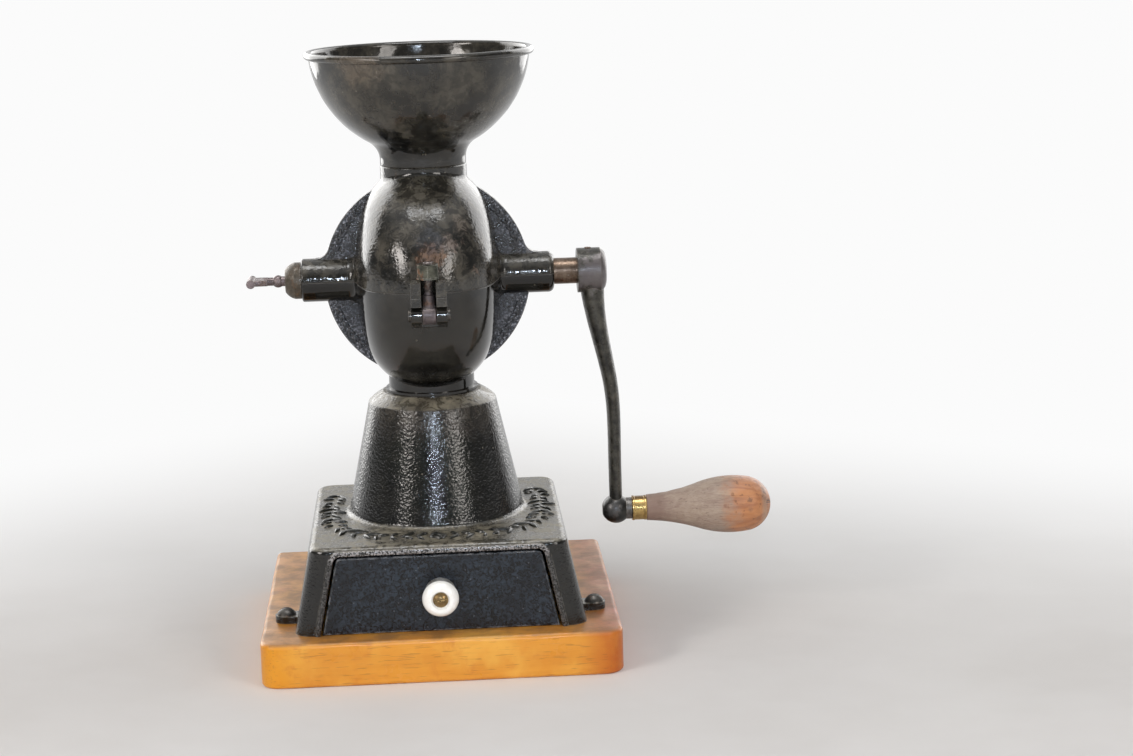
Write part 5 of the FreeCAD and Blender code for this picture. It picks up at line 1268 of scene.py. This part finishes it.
@dataclass
class Studio:
    """Pale floor, plain surroundings, the camera, a window on each side and a small cool lamp above the camera.

    The cards, one on each side behind and one overhead, show in the lacquer but leave every colour as bright as it is
    written. heart is what the lamps point at.
    """

    camera_place: Point = (-0.00125, -1.464, 0.4416)
    yaw: float = 0.0548
    pitch: float = 0.1962
    roll: float = -0.0293
    lens_in_pixels: float = 2543.75
    picture_width: float = 1133.0
    sensor: float = 36.0
    nearest: float = 0.05
    farthest: float = 200.0
    floor_rings: tuple[float, ...] = (0.0, 0.3, 1.0, 3.0, 10.0, 40.0)
    ambient: Colour = (0.53, 0.52, 0.51)
    dim: Colour = (0.17, 0.17, 0.17)
    backdrop: Colour = (0.965, 0.965, 0.965)
    heart: Point = (0.0, 0.0, 0.2)
    lamps: tuple[Lamp, ...] = (
        Lamp("left_window", (-1.42, -1.19, 0.93), (0.38, 0.9), 12.5, (1.0, 0.94, 0.89)),
        Lamp("right_window", (1.13, -1.44, 0.78), (0.46, 0.85), 6.5, (1.0, 0.95, 0.9)),
        Lamp("camera_lamp", (-0.002, -1.47, 0.5), (0.06, 0.05), 470.0, (0.72, 0.84, 1.0)),
        Lamp("left_card", (-0.86, 1.0, 0.62), (1.15, 1.3), 3.6, (1.0, 0.99, 0.97), card=True),
        Lamp("right_card", (0.86, 1.0, 0.62), (1.15, 1.3), 2.7, (1.0, 0.99, 0.98), card=True),
        Lamp("ceiling_card", (0.0, -0.3, 1.9), (1.4, 0.5), 8.0, (1.0, 1.0, 1.0), card=True))

    def camera(self) -> None:
        """Places the camera as the photograph was taken.

        The view direction f leans down by pitch and turns by yaw; the picture then rolls about it.
        """
        cy, sy, cp, sp = math.cos(self.yaw), math.sin(self.yaw), math.cos(self.pitch), math.sin(self.pitch)
        ahead = Vector((sy * cp, cy * cp, -sp))
        right = Vector((cy, -sy, 0.0))
        up = right.cross(ahead)
        c, s = math.cos(self.roll), math.sin(self.roll)
        across, high = c * right + s * up, -s * right + c * up
        data = bpy.data.cameras.new("camera")
        data.sensor_fit, data.sensor_width = "HORIZONTAL", self.sensor
        data.lens = self.lens_in_pixels / self.picture_width * self.sensor
        data.clip_start, data.clip_end = self.nearest, self.farthest
        made = bpy.data.objects.new("camera", data)
        made.matrix_world = Matrix([*zip(across, high, -ahead, self.camera_place), (0.0, 0.0, 0.0, 1.0)])
        bpy.context.scene.collection.objects.link(made)
        bpy.context.scene.camera = made

    @staticmethod
    def mirrored(graph: Graph, path: bpy.types.Node) -> Socket:
        """Gives 1 for a ray that comes from gloss or glass."""
        return graph.math("MAXIMUM", path.outputs["Is Glossy Ray"], path.outputs["Is Transmission Ray"])

    def world(self) -> None:
        """Sets plain surroundings: white to a camera, dim in front of the object and bright behind and above it."""
        world = bpy.data.worlds.new("surroundings")
        graph = Graph.fresh(world)
        path = graph.node("ShaderNodeLightPath")
        towards = graph.node("ShaderNodeTexCoord").outputs["Generated"]
        behind = graph.step(graph.part(towards, "Y"), 0.38, 0.56)
        above = graph.step(graph.part(towards, "Z"), 0.45, 0.85, 0.0, 0.85)
        room = graph.blend(graph.math("MAXIMUM", behind, above), self.dim, self.backdrop)
        colour = graph.blend(self.mirrored(graph, path), self.ambient, room)
        colour = graph.blend(path.outputs["Is Camera Ray"], colour, self.backdrop)
        light = graph.node("ShaderNodeBackground", {"Color": colour, "Strength": 1.0})
        graph.node("ShaderNodeOutputWorld", {"Surface": light.outputs[0]})
        bpy.context.scene.world = world

    def floor(self) -> None:
        """Lays a pale floor that brightens into the surroundings with distance."""
        turn = np.linspace(0, 2 * np.pi, 64, endpoint=False)
        points = np.stack([np.outer(self.floor_rings, np.cos(turn)), np.outer(self.floor_rings, np.sin(turn)),
                           np.zeros((len(self.floor_rings), len(turn)))], axis=-1)
        floor = Surface.from_grid(points[1:], around=True).with_pole(points[0, 0], True).mesh("floor", smooth=False)
        paper = bpy.data.materials.new("floor_paper")
        graph = Graph.fresh(paper)
        where = graph.place()
        away = graph.measure("LENGTH", where)
        aside = graph.times(graph.math("ABSOLUTE", graph.part(where, "X")), 0.6)
        far = graph.math("ADD", graph.times(graph.part(where, "Y"), 0.9), aside)
        bright = graph.times(graph.step(far, 0.06, 0.66), graph.step(away, 0.1, 0.2))
        bright = graph.math("MAXIMUM", bright, graph.step(away, 0.5, 2.2))
        cloud = graph.step(graph.noise(where, 5.0, 4.0, 0.55), 0.3, 0.7)
        matte = graph.node("ShaderNodeBsdfDiffuse", {
            "Color": graph.blend(cloud, (0.78, 0.765, 0.75), (0.84, 0.83, 0.82)),
            "Normal": graph.bump(graph.noise(where, 9.0, 3.0, 0.5), 0.004)})
        glow = graph.node("ShaderNodeEmission", {"Color": self.backdrop, "Strength": 1.0})
        path = graph.node("ShaderNodeLightPath")
        seen = graph.math("MAXIMUM", path.outputs["Is Camera Ray"], self.mirrored(graph, path))
        mixed = graph.node("ShaderNodeMixShader", {
            0: graph.times(bright, seen), 1: matte.outputs[0], 2: glow.outputs[0]})
        graph.node("ShaderNodeOutputMaterial", {"Surface": mixed.outputs[0]})
        floor.data.materials.append(paper)

    def build(self) -> None:
        """Builds the whole stage."""
        self.camera()
        for lamp in self.lamps:
            lamp.hang(self.heart)
        self.world()
        self.floor()
        bpy.context.scene.view_settings.view_transform = "Standard"
        log.info("stage: camera, floor and %s", ", ".join(lamp.name for lamp in self.lamps))


# ---------------------------------------------------------------- sub-assemblies


@dataclass
class Assembly:
    """One sub-assembly of the grinder."""

    def build(self) -> None:
        """Makes its new pieces; a sub-assembly without any leaves this as it is."""

    def dress(self) -> None:
        """Gives its CAD pieces their finishes; one that is all new pieces leaves this as it is."""


@dataclass
class Castings(Assembly):
    """The japanned castings: foot with its tower, the two halves of the grinding case, and the raised twigs on them.

    deck is the height of the foot's deck, and twig_side, twig_front and twig_square shape the twig round it. Each
    half of it starts twig_start degrees behind its side, has twig_pairs pairs of leaves and ends twig_gap short of
    the middle. web_half is the disc's half thickness, web_twig how far its twigs lie from the spindle, and web_arcs
    the first angle of their leaves, the angle that they stay below and the step, in degrees.
    """

    deck: float = 0.0755
    twig_side: float = 0.0615
    twig_front: float = 0.0675
    twig_square: float = 3.0
    twig_start: float = 24.0
    twig_pairs: int = 19
    twig_gap: float = 0.004
    web_half: float = 0.003
    web_twig: float = 0.0552
    web_arcs: tuple[float, float, float] = (17.0, 46.0, 4.9)

    def deck_twig(self, side: float) -> Surface:
        """Lays one half of the deck's twig, from the back of one side round to the middle of the front.

        Its stem is the superellipse |x / side|^n + |y / front|^n = 1, walked in equal steps.

        Args:
            side: 1 for the right half and -1 for the left.

        Returns:
            The leaves.
        """
        angle = np.linspace(math.radians(self.twig_start), math.radians(-89.99), 400)
        across, along = (half * np.sign(part) * np.abs(part) ** (2 / self.twig_square) for half, part in (
            (self.twig_side, np.cos(angle)), (self.twig_front, np.sin(angle))))
        way = np.concatenate([[0.0], np.cumsum(np.hypot(np.diff(across), np.diff(along)))])
        steps = np.linspace(0.0, way[-1] - self.twig_gap, self.twig_pairs)
        stem = np.stack([side * np.interp(steps, way, across), np.interp(steps, way, along),
                         np.full(len(steps), self.deck)], axis=-1)
        return Leaf(loose=0.42).twig(stem, (0.0, 0.0, 1.0))

    def web_arc(self, face: float, side: float, top: float) -> Surface:
        """Lays one twig on an arc about the spindle.

        Args:
            face: -1 for the front face and 1 for the back one.
            side: 1 for the right and -1 for the left.
            top: 1 above the spindle and -1 below it.

        Returns:
            The leaves.
        """
        angle = np.radians(np.arange(*self.web_arcs))
        stem = np.stack([side * self.web_twig * np.cos(angle), np.full(len(angle), face * self.web_half),
                         SHAFT_Z + top * self.web_twig * np.sin(angle)], axis=-1)
        return Leaf(length=0.0054, width=0.0021, rise=0.0008, lean=21.0, loose=0.2).twig(stem, (0.0, face, 0.0))

    def build(self) -> None:
        """Lays a leafy twig round the deck and four on each face of the disc across the case."""
        black = JapannedIron("twig_japan", low=(0.004, 0.005, 0.004), high=(0.018, 0.018, 0.013), gloss=0.22,
                             dull=0.42, dust=0.12, edge=0.0, rust=0.05, specks=0.0)
        blue = JapannedIron("web_twig_japan", low=(0.012, 0.013, 0.016), high=(0.05, 0.051, 0.058), gloss=0.25,
                            dull=0.45, edge=0.0, rust=0.04, specks=0.0)
        halves = [self.deck_twig(side) for side in (1.0, -1.0)]
        arcs = [self.web_arc(*signs) for signs in product((-1.0, 1.0), repeat=3)]
        show(Surface.joined(halves), "deck_twigs", black, Body.BASE)
        show(Surface.joined(arcs), "web_twigs", blue, Body.BASE)

    def dress(self) -> None:
        """Gives each casting its own wear, and a few patches of painted reflection and painted shade."""
        # The foot's pale edges are partly rubbed iron and partly a painted highlight on the rounded edges; the raised
        # bead in front gets a painted highlight too.
        dress(JapannedIron(
            "foot_japan", low=(0.002, 0.002, 0.0018), high=(0.012, 0.011, 0.008), gloss=0.12, dull=0.22, peel=2.6e-4,
            grain=720.0, share=0.25, rust=0.06, dust=1.0, dust_colour=(0.265, 0.235, 0.17), edge=0.6,
            edge_colour=(0.22, 0.2, 0.17), specks=0.004, mottle=0.6, ior=1.6, bead_glint_front=(0.0868, 0.066, 0.07),
            patches=(Patch((0.0, 0.0, 0.1475), 0.045, (0.085, 0.068, 0.05), rough=0.5, share=0.65, ragged=0.4),)),
            "base_housing")
        dress(JapannedIron(
            "lower_case_japan", low=(0.003, 0.003, 0.0026), high=(0.01, 0.009, 0.007), gloss=0.05, dull=0.17,
            peel=4e-5, share=9.0, rust=0.07, mottle=0.35, edge=0.25, specks=0.003, web=self.web_half, parting=True,
            patches=(
                # Painted reflections: an olive grey patch of the floor in front, above a black blot of the foot, low on
                # the front.
                Patch((0.0, -0.05, 0.192), 0.034, (0.028, 0.025, 0.019), rough=0.2, share=0.6),
                Patch((0.0, -0.034, 0.1655), 0.019, (0.0025, 0.0025, 0.0022), rough=0.3, share=0.95, ragged=0.9))),
            "lower_casing")
        dress(JapannedIron(
            "upper_case_japan", low=(0.006, 0.006, 0.005), high=(0.085, 0.075, 0.059), gloss=0.1, dull=0.3,
            peel=1.5e-4, grain=620.0, share=3.0, rust=0.26, rust_size=80.0, dust=0.6, mottle=0.7, edge=0.4,
            specks=0.008, web=self.web_half, parting=True, patches=(
                Patch((0.0022, -0.0627, 0.2335), 0.0085, (0.2, 0.09, 0.035), rough=0.6, share=0.6, ragged=2.8),
                Patch((0.012, -0.0585, 0.24), 0.006, (0.22, 0.16, 0.135), rough=0.45, share=0.42, ragged=3.0),
                Patch((0.0197, -0.0488, 0.2496), 0.006, (0.17, 0.13, 0.1), rough=0.45, share=0.35, ragged=3.2),
                # Painted highlight: a bluish spot of the cool lamp above the clamp.
                Patch((0.0021, -0.059, 0.2432), 0.009, (0.04, 0.05, 0.07), rough=0.25, share=0.45, ragged=2.6),
                # Painted shade: glossy black round the neck, where the hopper meets the case.
                Patch((0.0, 0.0, 0.2735), 0.031, (0.006, 0.006, 0.005), rough=0.12, share=0.85, ragged=0.4))),
            "upper_casing")


@dataclass
class SmallIron(Assembly):
    """Swing bolt of the clamp, and the pins, burrs and other small iron pieces that keep their CAD shape.

    pin is the bolt's own pin, in metres. The bolt's lengths are millimetres from there: its eye, the root that it
    stands on, and its thread.
    """

    pin: Point = (0.0, -0.075, 0.2035)
    eye: float = 5.2
    eye_half: float = 3.9
    eye_round: float = 0.8
    bore: float = 2.26
    chamfer: float = 0.7
    root: float = 3.4
    root_start: float = 3.2
    root_rise: float = 12.0
    root_fall: float = 0.8
    root_hollow: float = 1.4
    bolt: float = 2.6
    rise: float = 29.9
    pitch: float = 0.9
    depth: float = 0.4

    def build(self) -> None:
        """Turns the swing bolt's eye and its stem with the thread."""
        eye = Outline(self.chamfer - self.eye_half, self.bore).line(-self.eye_half, self.bore + self.chamfer)
        eye.line(-self.eye_half, self.eye - self.eye_round)
        eye.arc(self.eye_round - self.eye_half, self.eye, self.eye_round, False, 4)
        eye.line(self.eye_half - self.eye_round, self.eye)
        eye.arc(self.eye_half, self.eye - self.eye_round, self.eye_round, False, 4)
        eye.line(self.eye_half, self.bore + self.chamfer).line(self.eye_half - self.chamfer, self.bore)
        stem = Outline(self.root_start, 0.0).line(self.root_start, self.root)
        stem.line(self.root_rise - self.root_fall, self.root, 6)
        stem.arc(self.root_rise, self.bolt, self.root_hollow, True, 4).line(self.rise - self.chamfer, self.bolt, 150)
        stem.arc(self.rise, self.bolt - self.chamfer, self.chamfer, False, 3).line(self.rise, 0.0)
        cut = thread((self.root_rise + self.root_fall) * MM, (self.rise - self.depth) * MM, self.pitch * MM,
                     self.depth * MM)
        steel = BareMetal("bolt_steel", clean=(0.2, 0.17, 0.175), dark=(0.075, 0.06, 0.06), rust=0.5,
                          rust_tones=((0.04, 0.022, 0.016), (0.17, 0.1, 0.07)), metallic=0.6)
        pieces = (turned(eye.array(), Axis.X, self.pin, 48, ring=True),
                  turned(stem.array(), Axis.Z, self.pin, 40, swell=cut))
        show(Surface.joined(pieces), "swing_bolt_cut", steel, Body.CLAMP_BOLT, ("swing_bolt",), 30.0)

    def dress(self) -> None:
        """Gives each piece the finish of its slot."""
        dress(BareMetal("dark_steel", clean=(0.09, 0.085, 0.08), dark=(0.035, 0.032, 0.028), rust=0.35),
              "board_screws", "casing_bolts", "hinge_pin", "swing_bolt_pin")
        dress(BareMetal("rusty_steel", clean=(0.2, 0.13, 0.09), dark=(0.08, 0.05, 0.035), rust=0.85, metallic=0.5),
              "thrust_pad", "burr_pin", "worm_pin", "crank_pin", "handle_nail")
        dress(BareMetal("thumb_steel", clean=(0.23, 0.185, 0.185), dark=(0.11, 0.085, 0.085), rust=0.4,
                        rust_tones=((0.06, 0.035, 0.025), (0.18, 0.12, 0.09)), metallic=0.5), "thumb_screw")
        dress(BareMetal("plug_iron", clean=(0.11, 0.09, 0.068), dark=(0.06, 0.05, 0.038), rust=0.5,
                        rust_tones=((0.045, 0.028, 0.016), (0.14, 0.09, 0.052)), metallic=0.4), "adjuster_plug")
        # The knob plate's pale grey is partly nickel-like steel and partly a painted highlight for the light arc round
        # the knob.
        dress(BareMetal("plate_steel", clean=(0.4, 0.4, 0.39), dark=(0.16, 0.16, 0.155), rust=0.15, gloss=0.25,
                        dull=0.45), "knob_plate")
        # The nut's bright edges are partly rubbed steel and partly painted glints.
        dress(BareMetal("nut_steel", clean=(0.14, 0.14, 0.11), dark=(0.04, 0.042, 0.034), rust=0.4, gloss=0.2,
                        dull=0.4, edge=0.7, bright=(0.4, 0.39, 0.35)), "clamp_nut", "clamp_washer")
        dress(BareMetal("bare_iron", clean=(0.2, 0.19, 0.18), dark=(0.09, 0.085, 0.08), rust=0.3),
              "stationary_burr", "rotating_burr", "feed_worm", "burr_screws", "knob_nut", "knob_washer",
              "handle_spindle")
        dress(BareMetal("shaft_steel", clean=(0.22, 0.165, 0.125), dark=(0.09, 0.06, 0.042), gloss=0.26, dull=0.42,
                        rust=0.3, turned=1100.0, metallic=0.9), "spindle")


@dataclass
class Hopper(Assembly):
    """Bowl hopper, a little uneven from its casting. seat is metres; the others are millimetres up from it and out.

    neck, sweep, bowl and bead are radii, centre is the height of the bowl's own centre, and lip and mouth are the
    radii at which the bead meets the outside, lip_fall below the rim, and the inside.
    """

    seat: float = 0.2795
    throat: float = 19.4
    spigot: float = 22.4
    spigot_deep: float = 9.0
    neck: float = 24.8
    neck_round: float = 0.5
    sweep: float = 12.0
    bowl: float = 63.7
    centre: float = 69.3
    rim: float = 63.9
    bead: float = 2.25
    lip: float = 63.27
    lip_fall: float = 2.2
    mouth: float = 60.46
    wall: float = 3.0

    def profile(self) -> Outline:
        """Draws the wall as one closed line: up the outside, over the rim and down the inside.

        The sweep touches both the neck and the bowl, so its centre lies at neck + sweep out and
        centre - sqrt((bowl + sweep)^2 - (neck + sweep)^2) up.

        Returns:
            The line.
        """
        out = self.neck + self.sweep
        up = self.centre - math.sqrt((self.bowl + self.sweep) ** 2 - out ** 2)
        outer = self.bowl / (self.bowl + self.sweep)
        inner = (self.bowl - self.wall) / (self.bowl + self.sweep)
        line = Outline(-self.spigot_deep, self.throat).line(-self.spigot_deep, self.spigot).line(0.0, self.spigot)
        line.line(0.0, self.neck - self.neck_round).arc(self.neck_round, self.neck, self.neck_round, False, 3)
        line.line(up, self.neck)
        line.arc(self.centre - (self.centre - up) * outer, out * outer, self.sweep, True, 10)
        line.arc(self.rim - self.lip_fall, self.lip, self.bowl, False, 40)
        for along, across in ((0.0, self.bead), (self.bead, 0.0), (0.0, -self.bead)):
            line.arc(self.rim + along, self.bowl + across, self.bead, False, 6)
        line.line(self.rim, self.mouth)
        line.arc(self.centre - (self.centre - up) * inner, out * inner, self.bowl - self.wall, True, 36)
        return line.arc(up, self.neck - self.wall, self.sweep + self.wall, False, 8).line(0.0, self.throat)

    def build(self) -> None:
        """Turns the bowl."""
        japan = JapannedIron(
            "hopper_japan", low=(0.01, 0.009, 0.007), high=(0.07, 0.062, 0.047), gloss=0.07, dull=0.28, peel=5e-5,
            share=7.0, rust=0.13, mottle=0.45, specks=0.006, patches=(
                Patch((-0.0351, -0.0556, 0.3439), 0.017, (0.15, 0.115, 0.08), rough=0.4, share=0.5, ragged=2.0),
                Patch((0.027, -0.0322, 0.301), 0.016, (0.1, 0.095, 0.085), rough=0.35, share=0.6, ragged=2.4),
                # Painted reflections: glossy black blots low on the bowl, where it mirrors the dark case.
                Patch((-0.0158, -0.0272, 0.2955), 0.0145, (0.002, 0.002, 0.0018), rough=0.07, share=1.0, ragged=1.9),
                Patch((0.006, -0.031, 0.295), 0.012, (0.006, 0.006, 0.005), rough=0.1, share=0.6, ragged=2.6),
                # Painted shade: black round the hopper's neck, where it meets the case.
                Patch((0.0, 0.0, 0.28), 0.0295, LACQUER_BLACK, rough=0.1, share=0.85, ragged=0.5)))
        bowl = turned(self.profile().array(), Axis.Z, (0.0, 0.0, self.seat), 144, wave(7, 2.2e-4, 0.034), ring=True)
        show(bowl, "hopper_bowl_cast", japan, Body.BASE, ("hopper",), 50.0)


@dataclass
class Board(Assembly):
    """Varnished board with worn edges. Its lengths are millimetres.

    edge is the rounding of its edges, wear how much more they are worn on top, and wear_below the share of that
    below. shrunk are the shares to which a face's rim is drawn in to make the rings within it.
    """

    half_width: float = 101.6
    half_depth: float = 101.6
    thick: float = 25.4
    front_corner: float = 11.0
    back_corner: float = 4.0
    edge: float = 2.0
    wear: float = 1.3
    wear_below: float = 0.4
    shrunk: tuple[float, ...] = (0.3, 0.65, 0.9)

    def outline(self) -> tuple[np.ndarray, np.ndarray]:
        """Walks round the rounded rectangle: each corner's arc, then the side to the next corner.

        Returns:
            Its points and the inward direction at each, both of shape (points, 2).
        """
        corners = []
        for right, back, start in ((1, -1, -90.0), (1, 1, 0.0), (-1, 1, 90.0), (-1, -1, 180.0)):
            radius = self.back_corner if back > 0 else self.front_corner
            turn = np.radians(np.linspace(start, start + 90.0, 12))
            ways = np.stack([np.cos(turn), np.sin(turn)], axis=-1)
            middle = np.array([right * (self.half_width - radius), back * (self.half_depth - radius)])
            corners.append((middle + radius * ways, -ways))
        points, inward = [], []
        share = np.linspace(0.0, 1.0, 42)[1:-1, None]
        for (arc, ways), (next_arc, _) in zip(corners, corners[1:] + corners[:1]):
            points += [arc, arc[-1] * (1 - share) + next_arc[0] * share]
            inward += [ways, np.repeat(ways[-1:], len(share), axis=0)]
        return np.concatenate(points), np.concatenate(inward)

    def plank(self) -> Surface:
        """Sweeps the outline over the board's edge, from the middle below to the middle on top.

        At angle a of its edge the point is drawn in by e (1 - sin a) and lies e (1 - cos a) below the face, where e is
        the edge's rounding: the CAD's 2 mm, and up to wear more where a slow wave along the outline says so.

        Returns:
            The closed surface.
        """
        points, inward = self.outline()
        way = np.linspace(0, 2 * np.pi, len(points), endpoint=False)
        worn = 0.5 + sum(np.cos(rate * way + start) for rate, start in ((3, 0.6), (7, 2.1), (13, 4.0), (29, 0.0))) / 8.0
        turns = np.radians(np.linspace(0.0, 90.0, 7))
        rings = []
        for face, height, share, order in ((-1.0, 0.0, self.wear_below, turns), (1.0, self.thick, 1.0, turns[::-1])):
            rounding = self.edge + self.wear * worn * share
            for turn in order:
                drawn, fall = rounding * (1 - math.sin(turn)), rounding * (1 - math.cos(turn))
                rings.append(np.column_stack([points + inward * drawn[:, None], height - face * fall]))
        below = [rings[0] * (share, share, 1.0) for share in self.shrunk]
        above = [rings[-1] * (share, share, 1.0) for share in self.shrunk[::-1]]
        made = Surface.from_grid(np.array([*below, *rings, *above]) * MM, around=True)
        for height, first in ((0.0, True), (self.thick, False)):
            made = made.with_pole(np.array([0.0, 0.0, height]) * MM, first)
        return made.outward()

    def build(self) -> None:
        """Makes the board."""
        varnish = VarnishedBoard("board_varnish", half_width=self.half_width * MM)
        show(self.plank(), "worn_board", varnish, Body.BASE, ("wood_board",), 60.0)


@dataclass
class Crank(Assembly):
    """Crank arm, its turned handle and its ferrule. axis_z and dent_depth are metres; the others are millimetres.

    The handle's outside is a hollow to swell, a belly to cap and a round end. Its skin is where dents begin. The
    ferrule is wall thick, and its two beads reach bead_end and stand groove above what lies between them.
    """

    axis_z: float = 0.07
    ferrule_start: float = 115.65
    start: float = 124.25
    end: float = 198.45
    bore: float = 3.25
    bore_end: float = 180.55
    tenon: float = 6.38
    neck: float = 7.7
    neck_round: float = 0.5
    hollow_reach: float = 30.2
    hollow: float = 115.0
    swell: float = 13.4
    belly: float = 61.0
    cap: float = 15.9
    end_reach: float = 12.2
    end_round: float = 16.461
    skin: float = 7.2
    dent_count: int = 34
    dent_depth: float = 4.5e-4
    ferrule: float = 7.4
    wall: float = 1.0
    bead_round: float = 0.4
    bead: float = 1.2
    bead_end: float = 1.6
    groove: float = 0.25

    def grip(self) -> Surface:
        """Turns the handle: a bored tenon, a hollow neck, a round belly and a round end, with dents in its skin.

        Returns:
            The closed surface.
        """
        line = Outline(self.bore_end, 0.0).line(self.bore_end, self.bore).line(self.ferrule_start, self.bore, 4)
        line.line(self.ferrule_start, self.tenon).line(self.start, self.tenon)
        line.line(self.start, self.neck - self.neck_round)
        line.arc(self.start + self.neck_round, self.neck, self.neck_round, False, 3)
        line.arc(self.start + self.hollow_reach, self.swell, self.hollow, True, 40)
        line.arc(self.end - self.end_reach, self.cap, self.belly, False, 44)
        line.arc(self.end, 0.0, self.end_round, False, 34)
        hurt = dents(11, (self.start + 4) * MM, (self.end - 6) * MM, self.skin * MM, self.dent_count, self.dent_depth)
        return turned(line.array(), Axis.X, (0.0, 0.0, self.axis_z), 150, hurt)

    def collar(self) -> Surface:
        """Turns the ferrule with a rolled bead at each end.

        Returns:
            The closed surface.
        """
        a, b, r = self.ferrule_start, self.start, self.ferrule
        waist = r - self.groove
        line = Outline(a, r - self.wall).line(a, r - self.bead_round).arc(a + self.bead_round, r, self.bead_round,
                                                                          False, 4)
        line.line(a + self.bead, r).arc(a + self.bead_end, waist, 0.5, False, 3).line(b - self.bead_end, waist, 3)
        line.arc(b - self.bead, r, 0.5, False, 3).line(b - self.bead_round, r)
        line.arc(b, r - self.bead_round, self.bead_round, False, 4).line(b, r - self.wall)
        return turned(line.array(), Axis.X, (0.0, 0.0, self.axis_z), 72, ring=True)

    def build(self) -> None:
        """Makes the handle and the ferrule."""
        show(self.grip(), "turned_grip", WeatheredGrip("grip_wood"), Body.HANDLE, ("wooden_handle",))
        show(self.collar(), "rolled_ferrule", Brass("ferrule_brass", shaded_from=self.axis_z + 0.0048), Body.HANDLE,
             ("ferrule",))

    def dress(self) -> None:
        """Gives the crank worn iron, with a painted sheen on the front of its boss."""
        dress(BareMetal(
            "crank_iron", clean=(0.075, 0.07, 0.056), dark=(0.012, 0.011, 0.009), gloss=0.24, dull=0.48, rust=0.34,
            rust_size=60.0, rust_tones=((0.03, 0.019, 0.012), (0.11, 0.075, 0.045)), metallic=0.3, edge=0.6,
            bright=(0.16, 0.13, 0.1), pits=1.4e-4, grain=620.0, patches=(
                # Painted sheen: a pale purple grey patch on the front of the boss.
                Patch((0.098, -0.012, 0.214), 0.013, (0.17, 0.15, 0.155), rough=0.32, share=0.6, ragged=2.4),
                Patch((0.106, -0.004, 0.07), 0.0125, (0.012, 0.012, 0.012), rough=0.3, share=0.75, ragged=1.2),
                Patch((0.104, -0.0085, 0.0715), 0.005, (0.12, 0.115, 0.115), rough=0.3, share=0.6, ragged=1.6))),
            "crank_arm")


@dataclass
class Drawer(Assembly):
    """Drawer with its front, knob and screw."""

    def dress(self) -> None:
        """Gives the drawer its paint, the knob its glaze and the screw its tarnish."""
        dress(PaintedSheet("drawer_paint"), "drawer_front", "drawer_tray")
        dress(Porcelain("knob_glaze"), "drawer_knob")
        dress(Brass("knob_screw_brass", clean=(0.3, 0.21, 0.1), dark=(0.1, 0.065, 0.03), tarnish=0.9), "knob_screw")


def main() -> None:
    """Builds the stage and each sub-assembly."""
    logging.basicConfig(level=logging.INFO, format="%(name)s %(message)s")
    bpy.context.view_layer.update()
    Studio().build()
    for assembly in (Board(), Castings(), SmallIron(), Hopper(), Crank(), Drawer()):
        assembly.build()
        assembly.dress()


if __name__ == "__main__":
    main()
